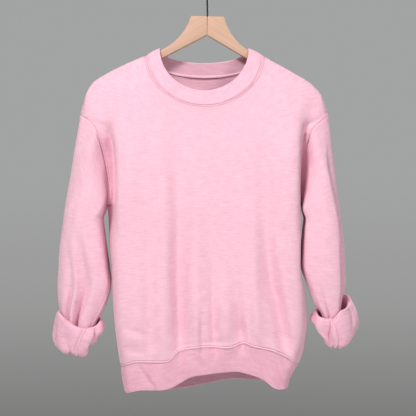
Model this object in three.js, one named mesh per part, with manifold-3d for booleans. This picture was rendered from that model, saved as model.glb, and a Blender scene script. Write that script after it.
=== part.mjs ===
// A crewneck sweatshirt hanging on a flat wooden hanger, at its real size.
// Units are millimetres, +Z is up and the front of the garment faces -Y.
// The origin is the point inside the wire hook where a rail carries it.
// The garment is sewn from a front, a back, two sleeves that are rolled up twice, a ribbed
// neckband, a ribbed waistband and two ribbed cuffs hidden in the rolls. Each piece is a wall of
// cloth. "Drop" is a distance straight down from the neck level.

import * as THREE from 'three';
import Module from 'manifold-3d';
import { mergeVertices } from 'three/addons/utils/BufferGeometryUtils.js';

// Driving dimensions
const NECK_LEVEL = -157;
const FLEECE_THICKNESS = 2.2;
const RIB_THICKNESS = 3.0;
const SEAM_GAP = 0.3;
const SEAM_BEVEL = 0.36;
const SAME_POINT = 0.02;
const MERGE_WITHIN = 1e-4;

const SHOULDER_START = { left: 11.5, right: 12.5 };
const SHOULDER_END = { left: 132, right: 131 };
const UNDERARM = { left: 318, right: 316 };
const WAIST_SEAM_SIDE = { left: 644, right: 645 };
const ARMHOLE_DEPTH = { front: { left: 56, right: 50 }, back: { left: 52, right: 50 } };

const NECK_SEAM = { centreX: -5.5, halfWidth: 117.5, front: 116, back: 53 };
const NECK_EDGE = { centreX: -6.5, halfWidth: 91.5, shoulder: -3.5, front: 88, back: 26, lean: 0.84 };
const NECKBAND_SWELL = 6;

const WAISTBAND_TAPER = { left: 0.955, right: 0.9, depth: 0.95 };
const WAISTBAND_SWELL = 5;
const WAISTBAND_HALF = 180;
const WAIST_TUCK = { share: 0.1, fromRow: 2.7 };

const HANGER = {
  topDrop: -67, halfTop: 34, thickness: 11, edge: 2, tilt: THREE.MathUtils.degToRad(1.6),
  apex: 39, lowerSlope: 0.552, shoulderX: 97.7, shoulderDown: 75, slope: 0.572, tip: 222, nose: 9,
  neckCurve: [[40, -17.5], [50, -35], [65, -52.5], [82.5, -65.5]],
};
const HOOK = {
  wire: 1.9, radius: 20.5, stemTop: -54, seat: 18, clearance: 0.3, kink: { x: 4.5, up: 12 },
  crookAngles: [-38, -8, 22, 56, 90, 124, 158, 190, 206],
};

// Colours as seen on the garment
const PINK_FLEECE = { color: 0xf3b9cd, roughness: 0.95, metalness: 0 };
const PINK_RIB = { color: 0xefb2c7, roughness: 0.95, metalness: 0 };
const BEECH = { color: 0xdcb08e, roughness: 0.6, metalness: 0 };
const BLACK_STEEL = { color: 0x23262b, roughness: 0.4, metalness: 1 };

// Curves through the rows of a table
function slopeAt(knots, values, i, steady) {
  const last = knots.length - 1;
  const secant = (k) => (values[k + 1] - values[k]) / (knots[k + 1] - knots[k]);
  if (i === 0) return secant(0);
  if (i === last) return secant(last - 1);
  const before = secant(i - 1);
  const after = secant(i);
  if (steady) return before * after <= 0 ? 0 : (2 * before * after) / (before + after);
  const left = knots[i] - knots[i - 1];
  const right = knots[i + 1] - knots[i];
  return (before * right + after * left) / (left + right);
}

function curveThrough(knots, values, at, steady = true) {
  const last = knots.length - 1;
  if (at <= knots[0]) return values[0];
  if (at >= knots[last]) return values[last];
  let i = 0;
  while (knots[i + 1] < at) i += 1;
  const span = knots[i + 1] - knots[i];
  const t = (at - knots[i]) / span;
  const m0 = slopeAt(knots, values, i, steady) * span;
  const m1 = slopeAt(knots, values, i + 1, steady) * span;
  const t2 = t * t;
  const t3 = t2 * t;
  return (2 * t3 - 3 * t2 + 1) * values[i] + (t3 - 2 * t2 + t) * m0
    + (3 * t2 - 2 * t3) * values[i + 1] + (t3 - t2) * m1;
}

// A table whose first column is the place, and whose other columns are read as smooth curves
function table(names, rows) {
  const knots = rows.map((row) => row[0]);
  const columns = Object.fromEntries(
    names.slice(1).map((name, k) => [name, rows.map((row) => row[k + 1])]),
  );
  return (at) => Object.fromEntries(
    Object.entries(columns).map(([name, values]) => [name, curveThrough(knots, values, at)]),
  );
}

const mix = (a, b, t) => a + (b - a) * t;
const smooth = (t) => {
  const c = Math.min(1, Math.max(0, t));
  return c * c * (3 - 2 * c);
};
const place = (x, y, drop) => new THREE.Vector3(x, y, NECK_LEVEL - drop);

// The rim of the body, from the front: the shoulder ridge, the armhole seam and the side seam
const RIM = table(['drop', 'left', 'right'], [
  [5.4, -113, 97],
  [12, -124, 111.5],
  [21.7, -146, 127.5],
  [38, -182.5, 156],
  [54, -211, 182.5],
  [70.7, -235, 210],
  [87, -245.5, 226.5],
  [103, -250.5, 235.5],
  [131.5, -258.5, 245],
  [148, -238, 230],
  [158, -230, 218],
  [171, -223, 208],
  [204, -214, 201],
  [248, -205, 198],
  [288, -201, 195],
  [318, -204.5, 192],
  [345, -202, 188.5],
  [400, -199, 187],
  [450, -195, 186],
  [490, -193, 196],
  [560, -188, 201],
  [608, -183, 197],
  [650, -176, 181],
]);

// Front: the chest edges and the turn behind each edge, where the cloth sinks in beside the sleeve
const FRONT_X = table(['drop', 'turnLeft', 'edgeLeft', 'edgeRight', 'turnRight'], [
  [6, -104, -82, 74, 90],
  [38, -175, -130, 112, 149],
  [70, -227, -172, 155, 202],
  [103, -243, -188, 176, 228],
  [131, -244, -189, 184, 231],
  [145, -229, -188, 187, 218],
  [158, -216, -187, 189, 206],
  [196, -203, -184, 193, 199],
  [235, -194, -182, 193, 195.5],
  [286, -193, -183, 191, 194],
  [320, -197, -185, 187, 191],
  [400, -196, -184, 184, 187],
  [450, -192, -182, 183, 186],
  [490, -191, -180, 186, 195],
  [560, -186, -176, 187, 199],
  [650, -173, -163, 168, 178],
]);
const FRONT_Y = table(['drop', 'turnLeft', 'edgeLeft', 'chest', 'centre', 'edgeRight', 'turnRight'], [
  [6, -10, -17, -20, -21, -17, -10],
  [38, -11, -21, -28, -32, -21, -11],
  [70, -14, -27, -36, -40, -27, -14],
  [103, -19, -36, -43, -44, -36, -19],
  [131, -25, -44, -48, -49, -44, -24],
  [145, -33, -48, -51, -51, -48, -30],
  [158, -39, -51, -53, -53, -52, -35],
  [196, -40, -59, -59, -59, -61, -33],
  [235, -38, -63, -64, -64, -65, -28],
  [286, -35, -66, -68, -68, -67, -29],
  [320, -33, -67, -70, -70, -67, -32],
  [400, -34, -67, -72, -72, -66, -34],
  [490, -34, -66, -74, -75, -64, -33],
  [560, -33, -64, -74, -76, -63, -33],
  [650, -31, -61, -73, -75, -59, -31],
]);
const BACK_Y = table(['drop', 'turn', 'edge', 'chest', 'centre'], [
  [6, 10, 16, 19, 19],
  [38, 11, 20, 27, 29],
  [70, 14, 25, 34, 36],
  [103, 19, 33, 39, 40],
  [131, 25, 39, 43, 43],
  [145, 32, 42, 45, 45],
  [158, 38, 45, 47, 47],
  [196, 36, 51, 52, 51],
  [235, 36, 56, 56, 55],
  [286, 34, 58, 59, 58],
  [320, 32, 60, 61, 59],
  [400, 33, 61, 63, 61],
  [490, 33, 60, 64, 63],
  [560, 32, 59, 65, 65],
  [650, 30, 57, 64, 65],
]);

// Where a section passes its rims, turns, edges, chest points and centre
const SECTION_STOPS = [-1, -0.86, -0.72, -0.4, 0, 0.4, 0.72, 0.86, 1];
const CHEST_SHARE = 0.56;
const PLAIN_RIM_SHARE = 0.3;

function armholeDepth(face, side, drop) {
  const share = (drop - SHOULDER_END[side]) / (UNDERARM[side] - SHOULDER_END[side]);
  if (share <= 0 || share >= 1) return 0;
  return ARMHOLE_DEPTH[face][side] * 2 * Math.sqrt(share * (1 - share));
}

// Soft folds that run down the body: from one place to another, as wide and as deep as named.
// A positive depth stands out of the cloth and a negative one sinks in.
const FOLD_FADE = { in: 0.45, out: 0.3 };
const fold = (name, fromX, fromDrop, toX, toDrop, width, depth) => (
  { name, fromX, fromDrop, toX, toDrop, width, depth }
);
const BODY_FOLDS = {
  front: [
    fold('left ridge', -94, 190, -88, 640, 22, 5),
    fold('left trough', -58, 300, -56, 640, 18, -9),
    fold('middle ridge', -22, 360, -20, 640, 15, 4),
    fold('middle tuck', 10, 480, 12, 612, 8, -4),
    fold('lower ridge', 38, 420, 38, 620, 13, 3),
    fold('pucker', 68, 540, 68, 612, 9, -6),
    fold('right ridge', 96, 400, 100, 640, 16, 4),
    fold('right trough', 112, 250, 144, 640, 18, -8),
    fold('armpit drag left', -222, 130, -188, 214, 16, -4),
    fold('armpit drag right', 214, 120, 190, 190, 14, -3),
  ],
  back: [
    fold('left back trough', -110, 260, -96, 650, 26, -7),
    fold('back ridge', -20, 300, -12, 650, 30, 6),
    fold('right back trough', 78, 230, 92, 650, 24, -8),
    fold('shoulder blade drag', 150, 160, 120, 380, 22, -5),
  ],
};

function foldHeight(folds, x, drop) {
  let height = 0;
  for (const f of folds) {
    const alongX = f.toX - f.fromX;
    const alongDrop = f.toDrop - f.fromDrop;
    const length = Math.hypot(alongX, alongDrop);
    const t = ((x - f.fromX) * alongX + (drop - f.fromDrop) * alongDrop) / (length * length);
    const aside = ((x - f.fromX) * alongDrop - (drop - f.fromDrop) * alongX) / length;
    const ends = smooth(t / FOLD_FADE.in) * smooth((1 + FOLD_FADE.out / 2 - t) / FOLD_FADE.out);
    height += f.depth * ends * Math.exp(-((aside / f.width) ** 2));
  }
  return height;
}

function sectionPoint(face, across, drop) {
  const rim = RIM(drop);
  const x = FRONT_X(drop);
  const outward = face === 'front' ? -1 : 1;
  const rimY = {
    left: outward * armholeDepth(face, 'left', drop),
    right: outward * armholeDepth(face, 'right', drop),
  };
  const y = face === 'front' ? FRONT_Y(drop) : BACK_Y(drop);
  const xs = [rim.left, x.turnLeft, x.edgeLeft, CHEST_SHARE * x.edgeLeft, (x.edgeLeft + x.edgeRight) / 2,
    CHEST_SHARE * x.edgeRight, x.edgeRight, x.turnRight, rim.right];
  const ys = face === 'front'
    ? [rimY.left, y.turnLeft, y.edgeLeft, y.chest, y.centre, y.chest, y.edgeRight, y.turnRight, rimY.right]
    : [rimY.left, y.turn, y.edge, y.chest, y.centre, y.chest, y.edge, y.turn, rimY.right];
  const atX = curveThrough(SECTION_STOPS, xs, across, false);
  const clear = smooth((1 - Math.abs(across)) / PLAIN_RIM_SHARE);
  const atY = curveThrough(SECTION_STOPS, ys, across, false)
    + outward * clear * foldHeight(BODY_FOLDS[face], atX, drop);
  return place(atX, atY, drop);
}

// The share of the section at which a plane x is met
const HALVINGS = 40;
function acrossAt(face, x, drop) {
  let low = -1;
  let high = 1;
  for (let i = 0; i < HALVINGS; i += 1) {
    const middle = (low + high) / 2;
    if (sectionPoint(face, middle, drop).x < x) low = middle;
    else high = middle;
  }
  return (low + high) / 2;
}

// The seam of the waistband and its free edge, as seen from the front and from behind
const HEM = {
  front: table(['x', 'seam', 'edge'], [
    [-176, 644, 695],
    [-135, 632, 686],
    [-99, 633, 686],
    [-78, 631, 682],
    [-54, 611, 670],
    [-33, 605, 659],
    [0, 602, 654],
    [36, 604, 650],
    [65, 595, 648.5],
    [84, 601, 652],
    [119, 609, 663],
    [155, 625, 684],
    [182, 645, 686],
  ]),
  back: table(['x', 'seam', 'edge'], [
    [-176, 644, 695],
    [-110, 651, 702],
    [-50, 645, 697],
    [0, 637, 688],
    [60, 628, 678],
    [120, 631, 681],
    [182, 645, 686],
  ]),
};

// Rows of a body panel run from the neck seam (0) past the shoulder end (1) and the underarm (2) to
// the waistband seam (3)
const ROWS = { shoulder: 6, armhole: 12, side: 9 };
// How many rows the neck's curve reaches down, and the waistband's curve reaches up
const NECK_REACH = 1.3;
const HEM_REACH = 0.8;
const BODY_ROWS = [
  ...Array.from({ length: ROWS.shoulder }, (_, i) => i / ROWS.shoulder),
  ...Array.from({ length: ROWS.armhole }, (_, i) => 1 + i / ROWS.armhole),
  ...Array.from({ length: ROWS.side + 1 }, (_, i) => 2 + i / ROWS.side),
];
const CENTRE_DROP = table(['row', 'front', 'back'], [
  [0, NECK_SEAM.front, NECK_SEAM.back],
  [1, 170, 132],
  [2, 326, 322],
  [3, 612, 640],
]);
const HALF_COLUMNS = {
  front: [0, 0.07, 0.14, 0.21, 0.28, 0.35, 0.42, 0.49, 0.56, 0.63, 0.7, 0.77, 0.84, 0.9, 0.955, 1],
  back: [0, 0.1, 0.2, 0.3, 0.4, 0.5, 0.6, 0.7, 0.79, 0.87, 0.94, 1],
};

function rimDrop(side, row) {
  if (row <= 1) return mix(SHOULDER_START[side], SHOULDER_END[side], row);
  if (row <= 2) return mix(SHOULDER_END[side], UNDERARM[side], (1 - Math.cos(Math.PI * (row - 1))) / 2);
  return mix(UNDERARM[side], WAIST_SEAM_SIDE[side], row - 2);
}

function bodyPoint(face, across, row) {
  const side = across < 0 ? 'left' : 'right';
  const rise = 1 - Math.cos((Math.abs(across) * Math.PI) / 2);
  const neckX = NECK_SEAM.centreX + NECK_SEAM.halfWidth * Math.sin((across * Math.PI) / 2);
  const neckDrop = mix(NECK_SEAM[face], SHOULDER_START[side], rise);
  const atNeck = Math.abs(across) === 1 ? across : acrossAt(face, neckX, neckDrop);
  const share = mix(atNeck, across, smooth(row / NECK_REACH));
  const level = mix(CENTRE_DROP(row)[face], rimDrop(side, row), rise);
  if (row <= 2 || Math.abs(across) === 1) return sectionPoint(face, share, level);
  const seam = HEM[face](sectionPoint(face, share, WAIST_SEAM_SIDE[side]).x).seam;
  const straight = mix(UNDERARM[side], seam, row - 2);
  const point = sectionPoint(face, share, mix(level, straight, smooth((row - 2) / HEM_REACH)));
  point.y *= 1 - WAIST_TUCK.share * smooth((row - WAIST_TUCK.fromRow) / (3 - WAIST_TUCK.fromRow));
  return point;
}

function panelGrid(face) {
  const half = HALF_COLUMNS[face];
  const columns = [...half.slice(1).reverse().map((share) => -share), ...half];
  return BODY_ROWS.map((row) => columns.map((across) => bodyPoint(face, across, row)));
}

// Sleeves. The rings below give the widest reach of each section to the outside, to the body, to
// the front and to the back, and how far down each of those four places lies.
const RING = ['outer', 'inner', 'front', 'back', 'dropOuter', 'dropFront', 'dropInner', 'dropBack'];
const ring = (...sizes) => Object.fromEntries(RING.map((name, k) => [name, sizes[k]]));
const SLEEVE_RINGS = {
  left: {
    tube: [
      ring(-292.5, -213, -62, 58, 345, 345, 345, 345),
      ring(-297, -209.5, -61, 57, 376, 376, 376, 376),
      ring(-301, -204.5, -60, 56, 410, 410, 410, 410),
      ring(-303, -200, -58, 54, 443, 443, 443, 443),
      ring(-305, -196.5, -56, 51, 476, 476, 476, 476),
      ring(-304.5, -202, -53, 48, 505, 505, 505, 505),
      ring(-301, -211, -49, 46, 528, 530, 528, 528),
      ring(-294.5, -223, -45, 43, 550, 556, 550, 550),
      ring(-293, -229, -41, 40, 578, 584, 574, 578),
      ring(-294, -234, -38, 38, 602, 610, 594, 602),
    ],
    roll: [
      ring(-308, -224.5, -50, 48, 599, 604, 591, 598),
      ring(-313.5, -214.5, -54, 53, 585, 591, 578, 582),
      ring(-310, -212.5, -56, 55, 562, 580, 566, 566),
      ring(-304, -215.5, -55, 54, 546, 571, 556, 552),
    ],
  },
  right: {
    tube: [
      ring(272, 196, -60, 58, 345, 345, 345, 345),
      ring(276, 193.5, -59, 57, 376, 376, 376, 376),
      ring(278.5, 191, -58, 56, 410, 410, 410, 410),
      ring(280.5, 190.5, -56, 54, 440, 440, 440, 440),
      ring(281, 199, -54, 51, 470, 470, 470, 470),
      ring(280, 208, -51, 49, 490, 492, 492, 490),
      ring(275, 217, -48, 46, 508, 516, 514, 508),
      ring(272, 228, -45, 43, 530, 540, 532, 530),
      ring(273, 234.5, -42, 41, 556, 564, 550, 556),
      ring(278, 239, -39, 38, 588, 592, 569, 584),
    ],
    roll: [
      ring(293, 229, -49, 48, 588, 594, 564, 582),
      ring(302, 217, -53, 52, 560, 579, 556, 562),
      ring(299.5, 214.5, -55, 54, 530, 566, 546, 542),
      ring(290, 220, -54, 53, 507, 554, 534, 526),
    ],
  },
};
const BOTTOM_TURN = 4.5;
const BOTTOM_DROOP = 2;
const TOP_TURN = 2.2;
const TURN_STEPS = [45, 90, 135];
const SLEEVE_COLUMNS = 2 * ROWS.armhole;
const SQUARENESS = 2.25;
const UPPER_RINGS = 5;
const CAP_BULGE = 9;
const CAP_PLAIN_SHARE = 0.6;
const HIDDEN_LAYER = 10;
const CUFF_END = { out: 6.5, up: 7 };

// Long folds of the sleeves, placed by their angle round the sleeve: 90 degrees is the front
const sleeveFold = (name, fromAngle, fromDrop, toAngle, toDrop, width, depth) => (
  { name, fromAngle, fromDrop, toAngle, toDrop, width, depth }
);
const SLEEVE_FOLDS = {
  left: [
    sleeveFold('outer trough', 50, 420, 62, 560, 13, -6),
    sleeveFold('front trough', 74, 400, 86, 570, 12, -8),
    sleeveFold('seam trough', 142, 450, 124, 570, 12, -6),
    sleeveFold('elbow ridge', 118, 330, 112, 520, 22, 4),
    sleeveFold('back trough', 250, 330, 262, 560, 16, -7),
  ],
  right: [
    sleeveFold('outer step', 30, 180, 42, 540, 13, -8),
    sleeveFold('front ridge', 80, 300, 78, 520, 26, 4),
    sleeveFold('inner trough', 150, 430, 130, 540, 12, -5),
    sleeveFold('back trough', 262, 330, 250, 540, 16, -7),
  ],
};
const ROLL_RIPPLE = {
  left: { waves: 6, height: 2.6, phase: 0.6 },
  right: { waves: 5, height: 2.2, phase: 2.1 },
};

const bend = (value) => Math.sign(value) * Math.abs(value) ** (2 / SQUARENESS);

function ringPoint(size, angle) {
  const c = Math.cos(angle);
  const s = Math.sin(angle);
  const x = (size.outer + size.inner) / 2 + ((size.outer - size.inner) / 2) * bend(c);
  const y = (s > 0 ? size.front : -size.back) * bend(s);
  const mean = (size.dropOuter + size.dropFront + size.dropInner + size.dropBack) / 4;
  const lean = (size.dropOuter - size.dropInner) / 2;
  const nod = (size.dropFront - size.dropBack) / 2;
  const sway = (size.dropOuter + size.dropInner - size.dropFront - size.dropBack) / 4;
  return place(x, y, mean + lean * c + nod * s + sway * Math.cos(2 * angle));
}

// The way out of the sleeve at an angle round it
const ringOutward = (side, angle) => (
  new THREE.Vector3((side === 'left' ? -1 : 1) * Math.cos(angle), -Math.sin(angle), 0)
);

function sleeveFoldHeight(side, angle, drop) {
  const degrees = THREE.MathUtils.radToDeg(angle);
  let height = 0;
  for (const f of SLEEVE_FOLDS[side]) {
    const t = (drop - f.fromDrop) / (f.toDrop - f.fromDrop);
    const centre = mix(f.fromAngle, f.toAngle, Math.min(1, Math.max(0, t)));
    const ends = smooth(t / FOLD_FADE.in) * smooth((1 + FOLD_FADE.out - t) / FOLD_FADE.out);
    height += f.depth * ends * Math.exp(-(((degrees - centre) / f.width) ** 2));
  }
  return height;
}

// The armhole seam: down the front from the shoulder end to the underarm and up the back again
function armholeLoop(side) {
  const across = side === 'left' ? -1 : 1;
  const rows = BODY_ROWS.filter((row) => row >= 1 && row <= 2);
  const front = rows.map((row) => bodyPoint('front', across, row));
  const back = rows.map((row) => bodyPoint('back', across, row)).reverse();
  return [...front, ...back.slice(1, -1)];
}

function sleeveGrid(side) {
  const loop = armholeLoop(side);
  const angles = loop.map((_, j) => (2 * Math.PI * j) / SLEEVE_COLUMNS);
  const { tube, roll } = SLEEVE_RINGS[side];
  const ripple = ROLL_RIPPLE[side];
  const rings = [loop];
  for (let k = 1; k < UPPER_RINGS; k += 1) {
    const t = k / UPPER_RINGS;
    rings.push(angles.map((angle, j) => {
      const target = ringPoint(tube[0], angle);
      const bulge = CAP_BULGE * 4 * t * (1 - t) * Math.sin(angle) ** 2;
      const point = loop[j].clone().lerp(target, t);
      const foldOut = smooth(t / CAP_PLAIN_SHARE) * sleeveFoldHeight(side, angle, NECK_LEVEL - point.z);
      return point.addScaledVector(ringOutward(side, angle), bulge + foldOut);
    }));
  }
  for (const size of tube) {
    rings.push(angles.map((angle) => {
      const point = ringPoint(size, angle);
      const drop = NECK_LEVEL - point.z;
      return point.addScaledVector(ringOutward(side, angle), sleeveFoldHeight(side, angle, drop));
    }));
  }
  // The lower edge, where the cloth turns outwards and up
  const lastTube = rings[rings.length - 1];
  const wave = (angle) => ripple.height * Math.sin(ripple.waves * angle + ripple.phase);
  for (const degrees of TURN_STEPS) {
    const a = THREE.MathUtils.degToRad(degrees);
    rings.push(angles.map((angle, j) => {
      const out = BOTTOM_TURN * (1 - Math.cos(a));
      const point = lastTube[j].clone().addScaledVector(ringOutward(side, angle), out);
      point.z -= (BOTTOM_TURN + BOTTOM_DROOP + wave(angle)) * Math.sin(a);
      return point;
    }));
  }
  for (const size of roll) {
    rings.push(angles.map((angle) => ringPoint(size, angle)));
  }
  // The upper edge, an older fold, where the cloth turns inwards and down again
  const topRing = rings[rings.length - 1];
  for (const degrees of TURN_STEPS) {
    const a = THREE.MathUtils.degToRad(degrees);
    rings.push(angles.map((angle, j) => {
      const inward = -TOP_TURN * (1 - Math.cos(a));
      const point = topRing[j].clone().addScaledVector(ringOutward(side, angle), inward);
      point.z += TOP_TURN * Math.sin(a);
      return point;
    }));
  }
  rings.push(angles.map((angle, j) => {
    const point = topRing[j].clone().addScaledVector(ringOutward(side, angle), -2 * TOP_TURN);
    point.z -= HIDDEN_LAYER;
    return point;
  }));
  return rings;
}

// The ribbed cuff hangs on from the hidden end of the sleeve, between the two layers of the roll
function cuffGrid(side, sleeve) {
  const start = sleeve[sleeve.length - 1];
  const lowest = sleeve[UPPER_RINGS + SLEEVE_RINGS[side].tube.length - 1];
  const end = lowest.map((point, j) => {
    const out = ringOutward(side, (2 * Math.PI * j) / SLEEVE_COLUMNS).multiplyScalar(CUFF_END.out);
    return point.clone().add(out).add(new THREE.Vector3(0, 0, CUFF_END.up));
  });
  return [0, 0.5, 1].map((t) => start.map((point, j) => point.clone().lerp(end[j], t)));
}

// Neckband: a ring from the neck seam up to its folded edge
function loopOf(facePoint) {
  const front = HALF_COLUMNS.front;
  const back = HALF_COLUMNS.back;
  const acrossFront = [...front.slice(1).reverse().map((share) => -share), ...front];
  const acrossBack = [...back.slice(0, -1).reverse(), ...back.slice(1, -1).map((share) => -share)];
  return [
    ...acrossFront.map((across) => facePoint('front', across)),
    ...acrossBack.map((across) => facePoint('back', across)),
  ];
}

function neckbandGrid() {
  const seam = loopOf((face, across) => bodyPoint(face, across, 0));
  const edge = loopOf((face, across) => {
    const turn = (across * Math.PI) / 2;
    const low = bodyPoint(face, across, 0);
    return place(
      NECK_EDGE.centreX + NECK_EDGE.halfWidth * Math.sin(turn),
      low.y * NECK_EDGE.lean,
      mix(NECK_EDGE.shoulder, NECK_EDGE[face], Math.cos(turn)),
    );
  });
  return [0, 0.5, 1].map((t) => seam.map((point, j) => {
    const moved = point.clone().lerp(edge[j], t);
    moved.z += NECKBAND_SWELL * t * (1 - t);
    return moved;
  }));
}

// Waistband: a ring from the waistband seam down to its folded edge
function waistbandGrid() {
  const seam = loopOf((face, across) => bodyPoint(face, across, 3));
  const edge = loopOf((face, across) => {
    const high = bodyPoint(face, across, 3);
    const side = across < 0 ? 'left' : 'right';
    return place(high.x * WAISTBAND_TAPER[side], high.y * WAISTBAND_TAPER.depth, HEM[face](high.x).edge);
  });
  return [0, 1 / 3, 2 / 3, 1].map((t) => seam.map((point, j) => {
    const moved = point.clone().lerp(edge[j], t);
    const sideways = point.x / WAISTBAND_HALF;
    const early = t * (1 - t) * Math.max(0, sideways);
    moved.x += early * (edge[j].x - point.x) + WAISTBAND_SWELL * t * (1 - t) * sideways;
    moved.y += WAISTBAND_SWELL * t * (1 - t) * Math.sign(moved.y);
    return moved;
  }));
}

// Walls of cloth. Every piece is first a grid of points on its outer face. Pieces that are sewn
// together share their seam points and take the same direction for their thickness there. Then
// each draws back by half the seam gap, and its inner edge by the bevel as well.
const pieces = [];
function addPiece(name, family, grid, closed, thickness, look) {
  pieces.push({ name, family, grid, closed, thickness, look });
}

const mirrored = (grid) => grid.map((row) => row.slice().reverse());
const LEFT_SLEEVE = sleeveGrid('left');
const RIGHT_SLEEVE = sleeveGrid('right');
const LEFT_CUFF = cuffGrid('left', LEFT_SLEEVE);
const RIGHT_CUFF = cuffGrid('right', RIGHT_SLEEVE);
addPiece('front', 'body', panelGrid('front'), false, FLEECE_THICKNESS, PINK_FLEECE);
addPiece('back', 'body', mirrored(panelGrid('back')), false, FLEECE_THICKNESS, PINK_FLEECE);
addPiece('sleeve_left', 'sleeve', LEFT_SLEEVE, true, FLEECE_THICKNESS, PINK_FLEECE);
addPiece('sleeve_right', 'sleeve', mirrored(RIGHT_SLEEVE), true, FLEECE_THICKNESS, PINK_FLEECE);
addPiece('cuff_left', 'cuff', LEFT_CUFF, true, RIB_THICKNESS, PINK_RIB);
addPiece('cuff_right', 'cuff', mirrored(RIGHT_CUFF), true, RIB_THICKNESS, PINK_RIB);
addPiece('neckband', 'neckband', neckbandGrid().reverse(), true, RIB_THICKNESS, PINK_RIB);
addPiece('waistband', 'waistband', waistbandGrid(), true, RIB_THICKNESS, PINK_RIB);

function gridNormals({ grid, closed }) {
  const rows = grid.length;
  const columns = grid[0].length;
  return grid.map((line, i) => line.map((_, j) => {
    const up = grid[Math.max(0, i - 1)][j];
    const down = grid[Math.min(rows - 1, i + 1)][j];
    const before = closed ? line[(j + columns - 1) % columns] : line[Math.max(0, j - 1)];
    const after = closed ? line[(j + 1) % columns] : line[Math.min(columns - 1, j + 1)];
    const normal = after.clone().sub(before).cross(up.clone().sub(down));
    return normal.normalize();
  }));
}

const keyOf = (point) => point.toArray().map((v) => Math.round(v / SAME_POINT)).join(',');

function shareSeams() {
  const seams = new Map();
  for (const piece of pieces) {
    piece.normals = gridNormals(piece);
    for (const { i, j } of rimOf(piece)) {
      const key = keyOf(piece.grid[i][j]);
      if (!seams.has(key)) seams.set(key, {});
      const families = seams.get(key);
      families[piece.family] ??= new THREE.Vector3();
      families[piece.family].add(piece.normals[i][j]);
    }
  }
  for (const piece of pieces) {
    for (const { i, j } of rimOf(piece)) {
      const families = Object.values(seams.get(keyOf(piece.grid[i][j])));
      const shared = new THREE.Vector3();
      for (const sum of families) shared.add(sum.clone().normalize());
      piece.normals[i][j] = shared.normalize();
    }
  }
}

// The rim of a grid, as loops of places with the neighbours before and after
function rimOf({ grid, closed }) {
  const rows = grid.length;
  const columns = grid[0].length;
  const loops = [];
  if (closed) {
    for (const i of [0, rows - 1]) loops.push(grid[i].map((_, j) => ({ i, j })));
  } else {
    loops.push([
      ...Array.from({ length: columns - 1 }, (_, j) => ({ i: 0, j })),
      ...Array.from({ length: rows - 1 }, (_, i) => ({ i, j: columns - 1 })),
      ...Array.from({ length: columns - 1 }, (_, k) => ({ i: rows - 1, j: columns - 1 - k })),
      ...Array.from({ length: rows - 1 }, (_, k) => ({ i: rows - 1 - k, j: 0 })),
    ]);
  }
  return loops.flatMap((loop) => loop.map((at, k) => ({
    ...at, before: loop[(k + loop.length - 1) % loop.length], after: loop[(k + 1) % loop.length],
  })));
}

function drawBack(piece) {
  const { grid, normals } = piece;
  const rows = grid.length;
  const columns = grid[0].length;
  piece.bevels = grid.map((line) => line.map(() => new THREE.Vector3()));
  const moves = rimOf(piece).map(({ i, j, before, after }) => {
    const tangent = grid[after.i][after.j].clone().sub(grid[before.i][before.j]);
    const inward = normals[i][j].clone().cross(tangent).normalize();
    const insideRow = Math.min(rows - 2, Math.max(1, i));
    const insideColumn = piece.closed ? j : Math.min(columns - 2, Math.max(1, j));
    const towards = grid[insideRow][insideColumn].clone().sub(grid[i][j]);
    if (inward.dot(towards) < 0) inward.negate();
    return { i, j, inward };
  });
  for (const { i, j, inward } of moves) {
    grid[i][j] = grid[i][j].clone().addScaledVector(inward, SEAM_GAP / 2);
    piece.bevels[i][j].addScaledVector(inward, SEAM_BEVEL);
  }
}

function wallGeometry({ grid, normals, bevels, closed, thickness }) {
  const rows = grid.length;
  const columns = grid[0].length;
  const outside = grid.flat();
  const inside = grid.flatMap((line, i) => line.map((point, j) => (
    point.clone().addScaledVector(normals[i][j], -thickness).add(bevels[i][j])
  )));
  const positions = [...outside, ...inside].flatMap((point) => point.toArray());
  const outer = (i, j) => i * columns + (j % columns);
  const inner = (i, j) => rows * columns + outer(i, j);
  const index = [];
  const quad = (a, b, c, d) => index.push(a, b, c, a, c, d);
  const lastColumn = closed ? columns : columns - 1;
  for (let i = 0; i < rows - 1; i += 1) {
    for (let j = 0; j < lastColumn; j += 1) {
      quad(outer(i, j), outer(i + 1, j), outer(i + 1, j + 1), outer(i, j + 1));
      quad(inner(i, j), inner(i, j + 1), inner(i + 1, j + 1), inner(i + 1, j));
    }
  }
  for (let j = 0; j < lastColumn; j += 1) {
    quad(outer(0, j), outer(0, j + 1), inner(0, j + 1), inner(0, j));
    quad(outer(rows - 1, j), inner(rows - 1, j), inner(rows - 1, j + 1), outer(rows - 1, j + 1));
  }
  if (!closed) {
    const last = columns - 1;
    for (let i = 0; i < rows - 1; i += 1) {
      quad(outer(i, 0), inner(i, 0), inner(i + 1, 0), outer(i + 1, 0));
      quad(outer(i, last), outer(i + 1, last), inner(i + 1, last), inner(i, last));
    }
  }
  const geometry = new THREE.BufferGeometry();
  geometry.setAttribute('position', new THREE.Float32BufferAttribute(positions, 3));
  geometry.setIndex(index);
  return geometry;
}

function named(name, geometry, look) {
  const mesh = new THREE.Mesh(geometry, new THREE.MeshStandardMaterial(look));
  mesh.name = name;
  return mesh;
}

// Wooden hanger: two flat arms glued together at the middle, with a blind hole for the wire
const wasm = await Module();
wasm.setup();

function solidOf(geometry) {
  const bare = geometry.clone();
  for (const name of Object.keys(bare.attributes)) {
    if (name !== 'position') bare.deleteAttribute(name);
  }
  const merged = mergeVertices(bare, MERGE_WITHIN);
  return new wasm.Manifold(new wasm.Mesh({
    numProp: 3,
    vertProperties: new Float32Array(merged.attributes.position.array),
    triVerts: new Uint32Array(merged.index.array),
  }));
}

function geometryOf(solid) {
  const mesh = solid.getMesh();
  const geometry = new THREE.BufferGeometry();
  geometry.setAttribute('position', new THREE.Float32BufferAttribute(mesh.vertProperties, 3));
  geometry.setIndex(Array.from(mesh.triVerts));
  return geometry;
}

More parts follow.
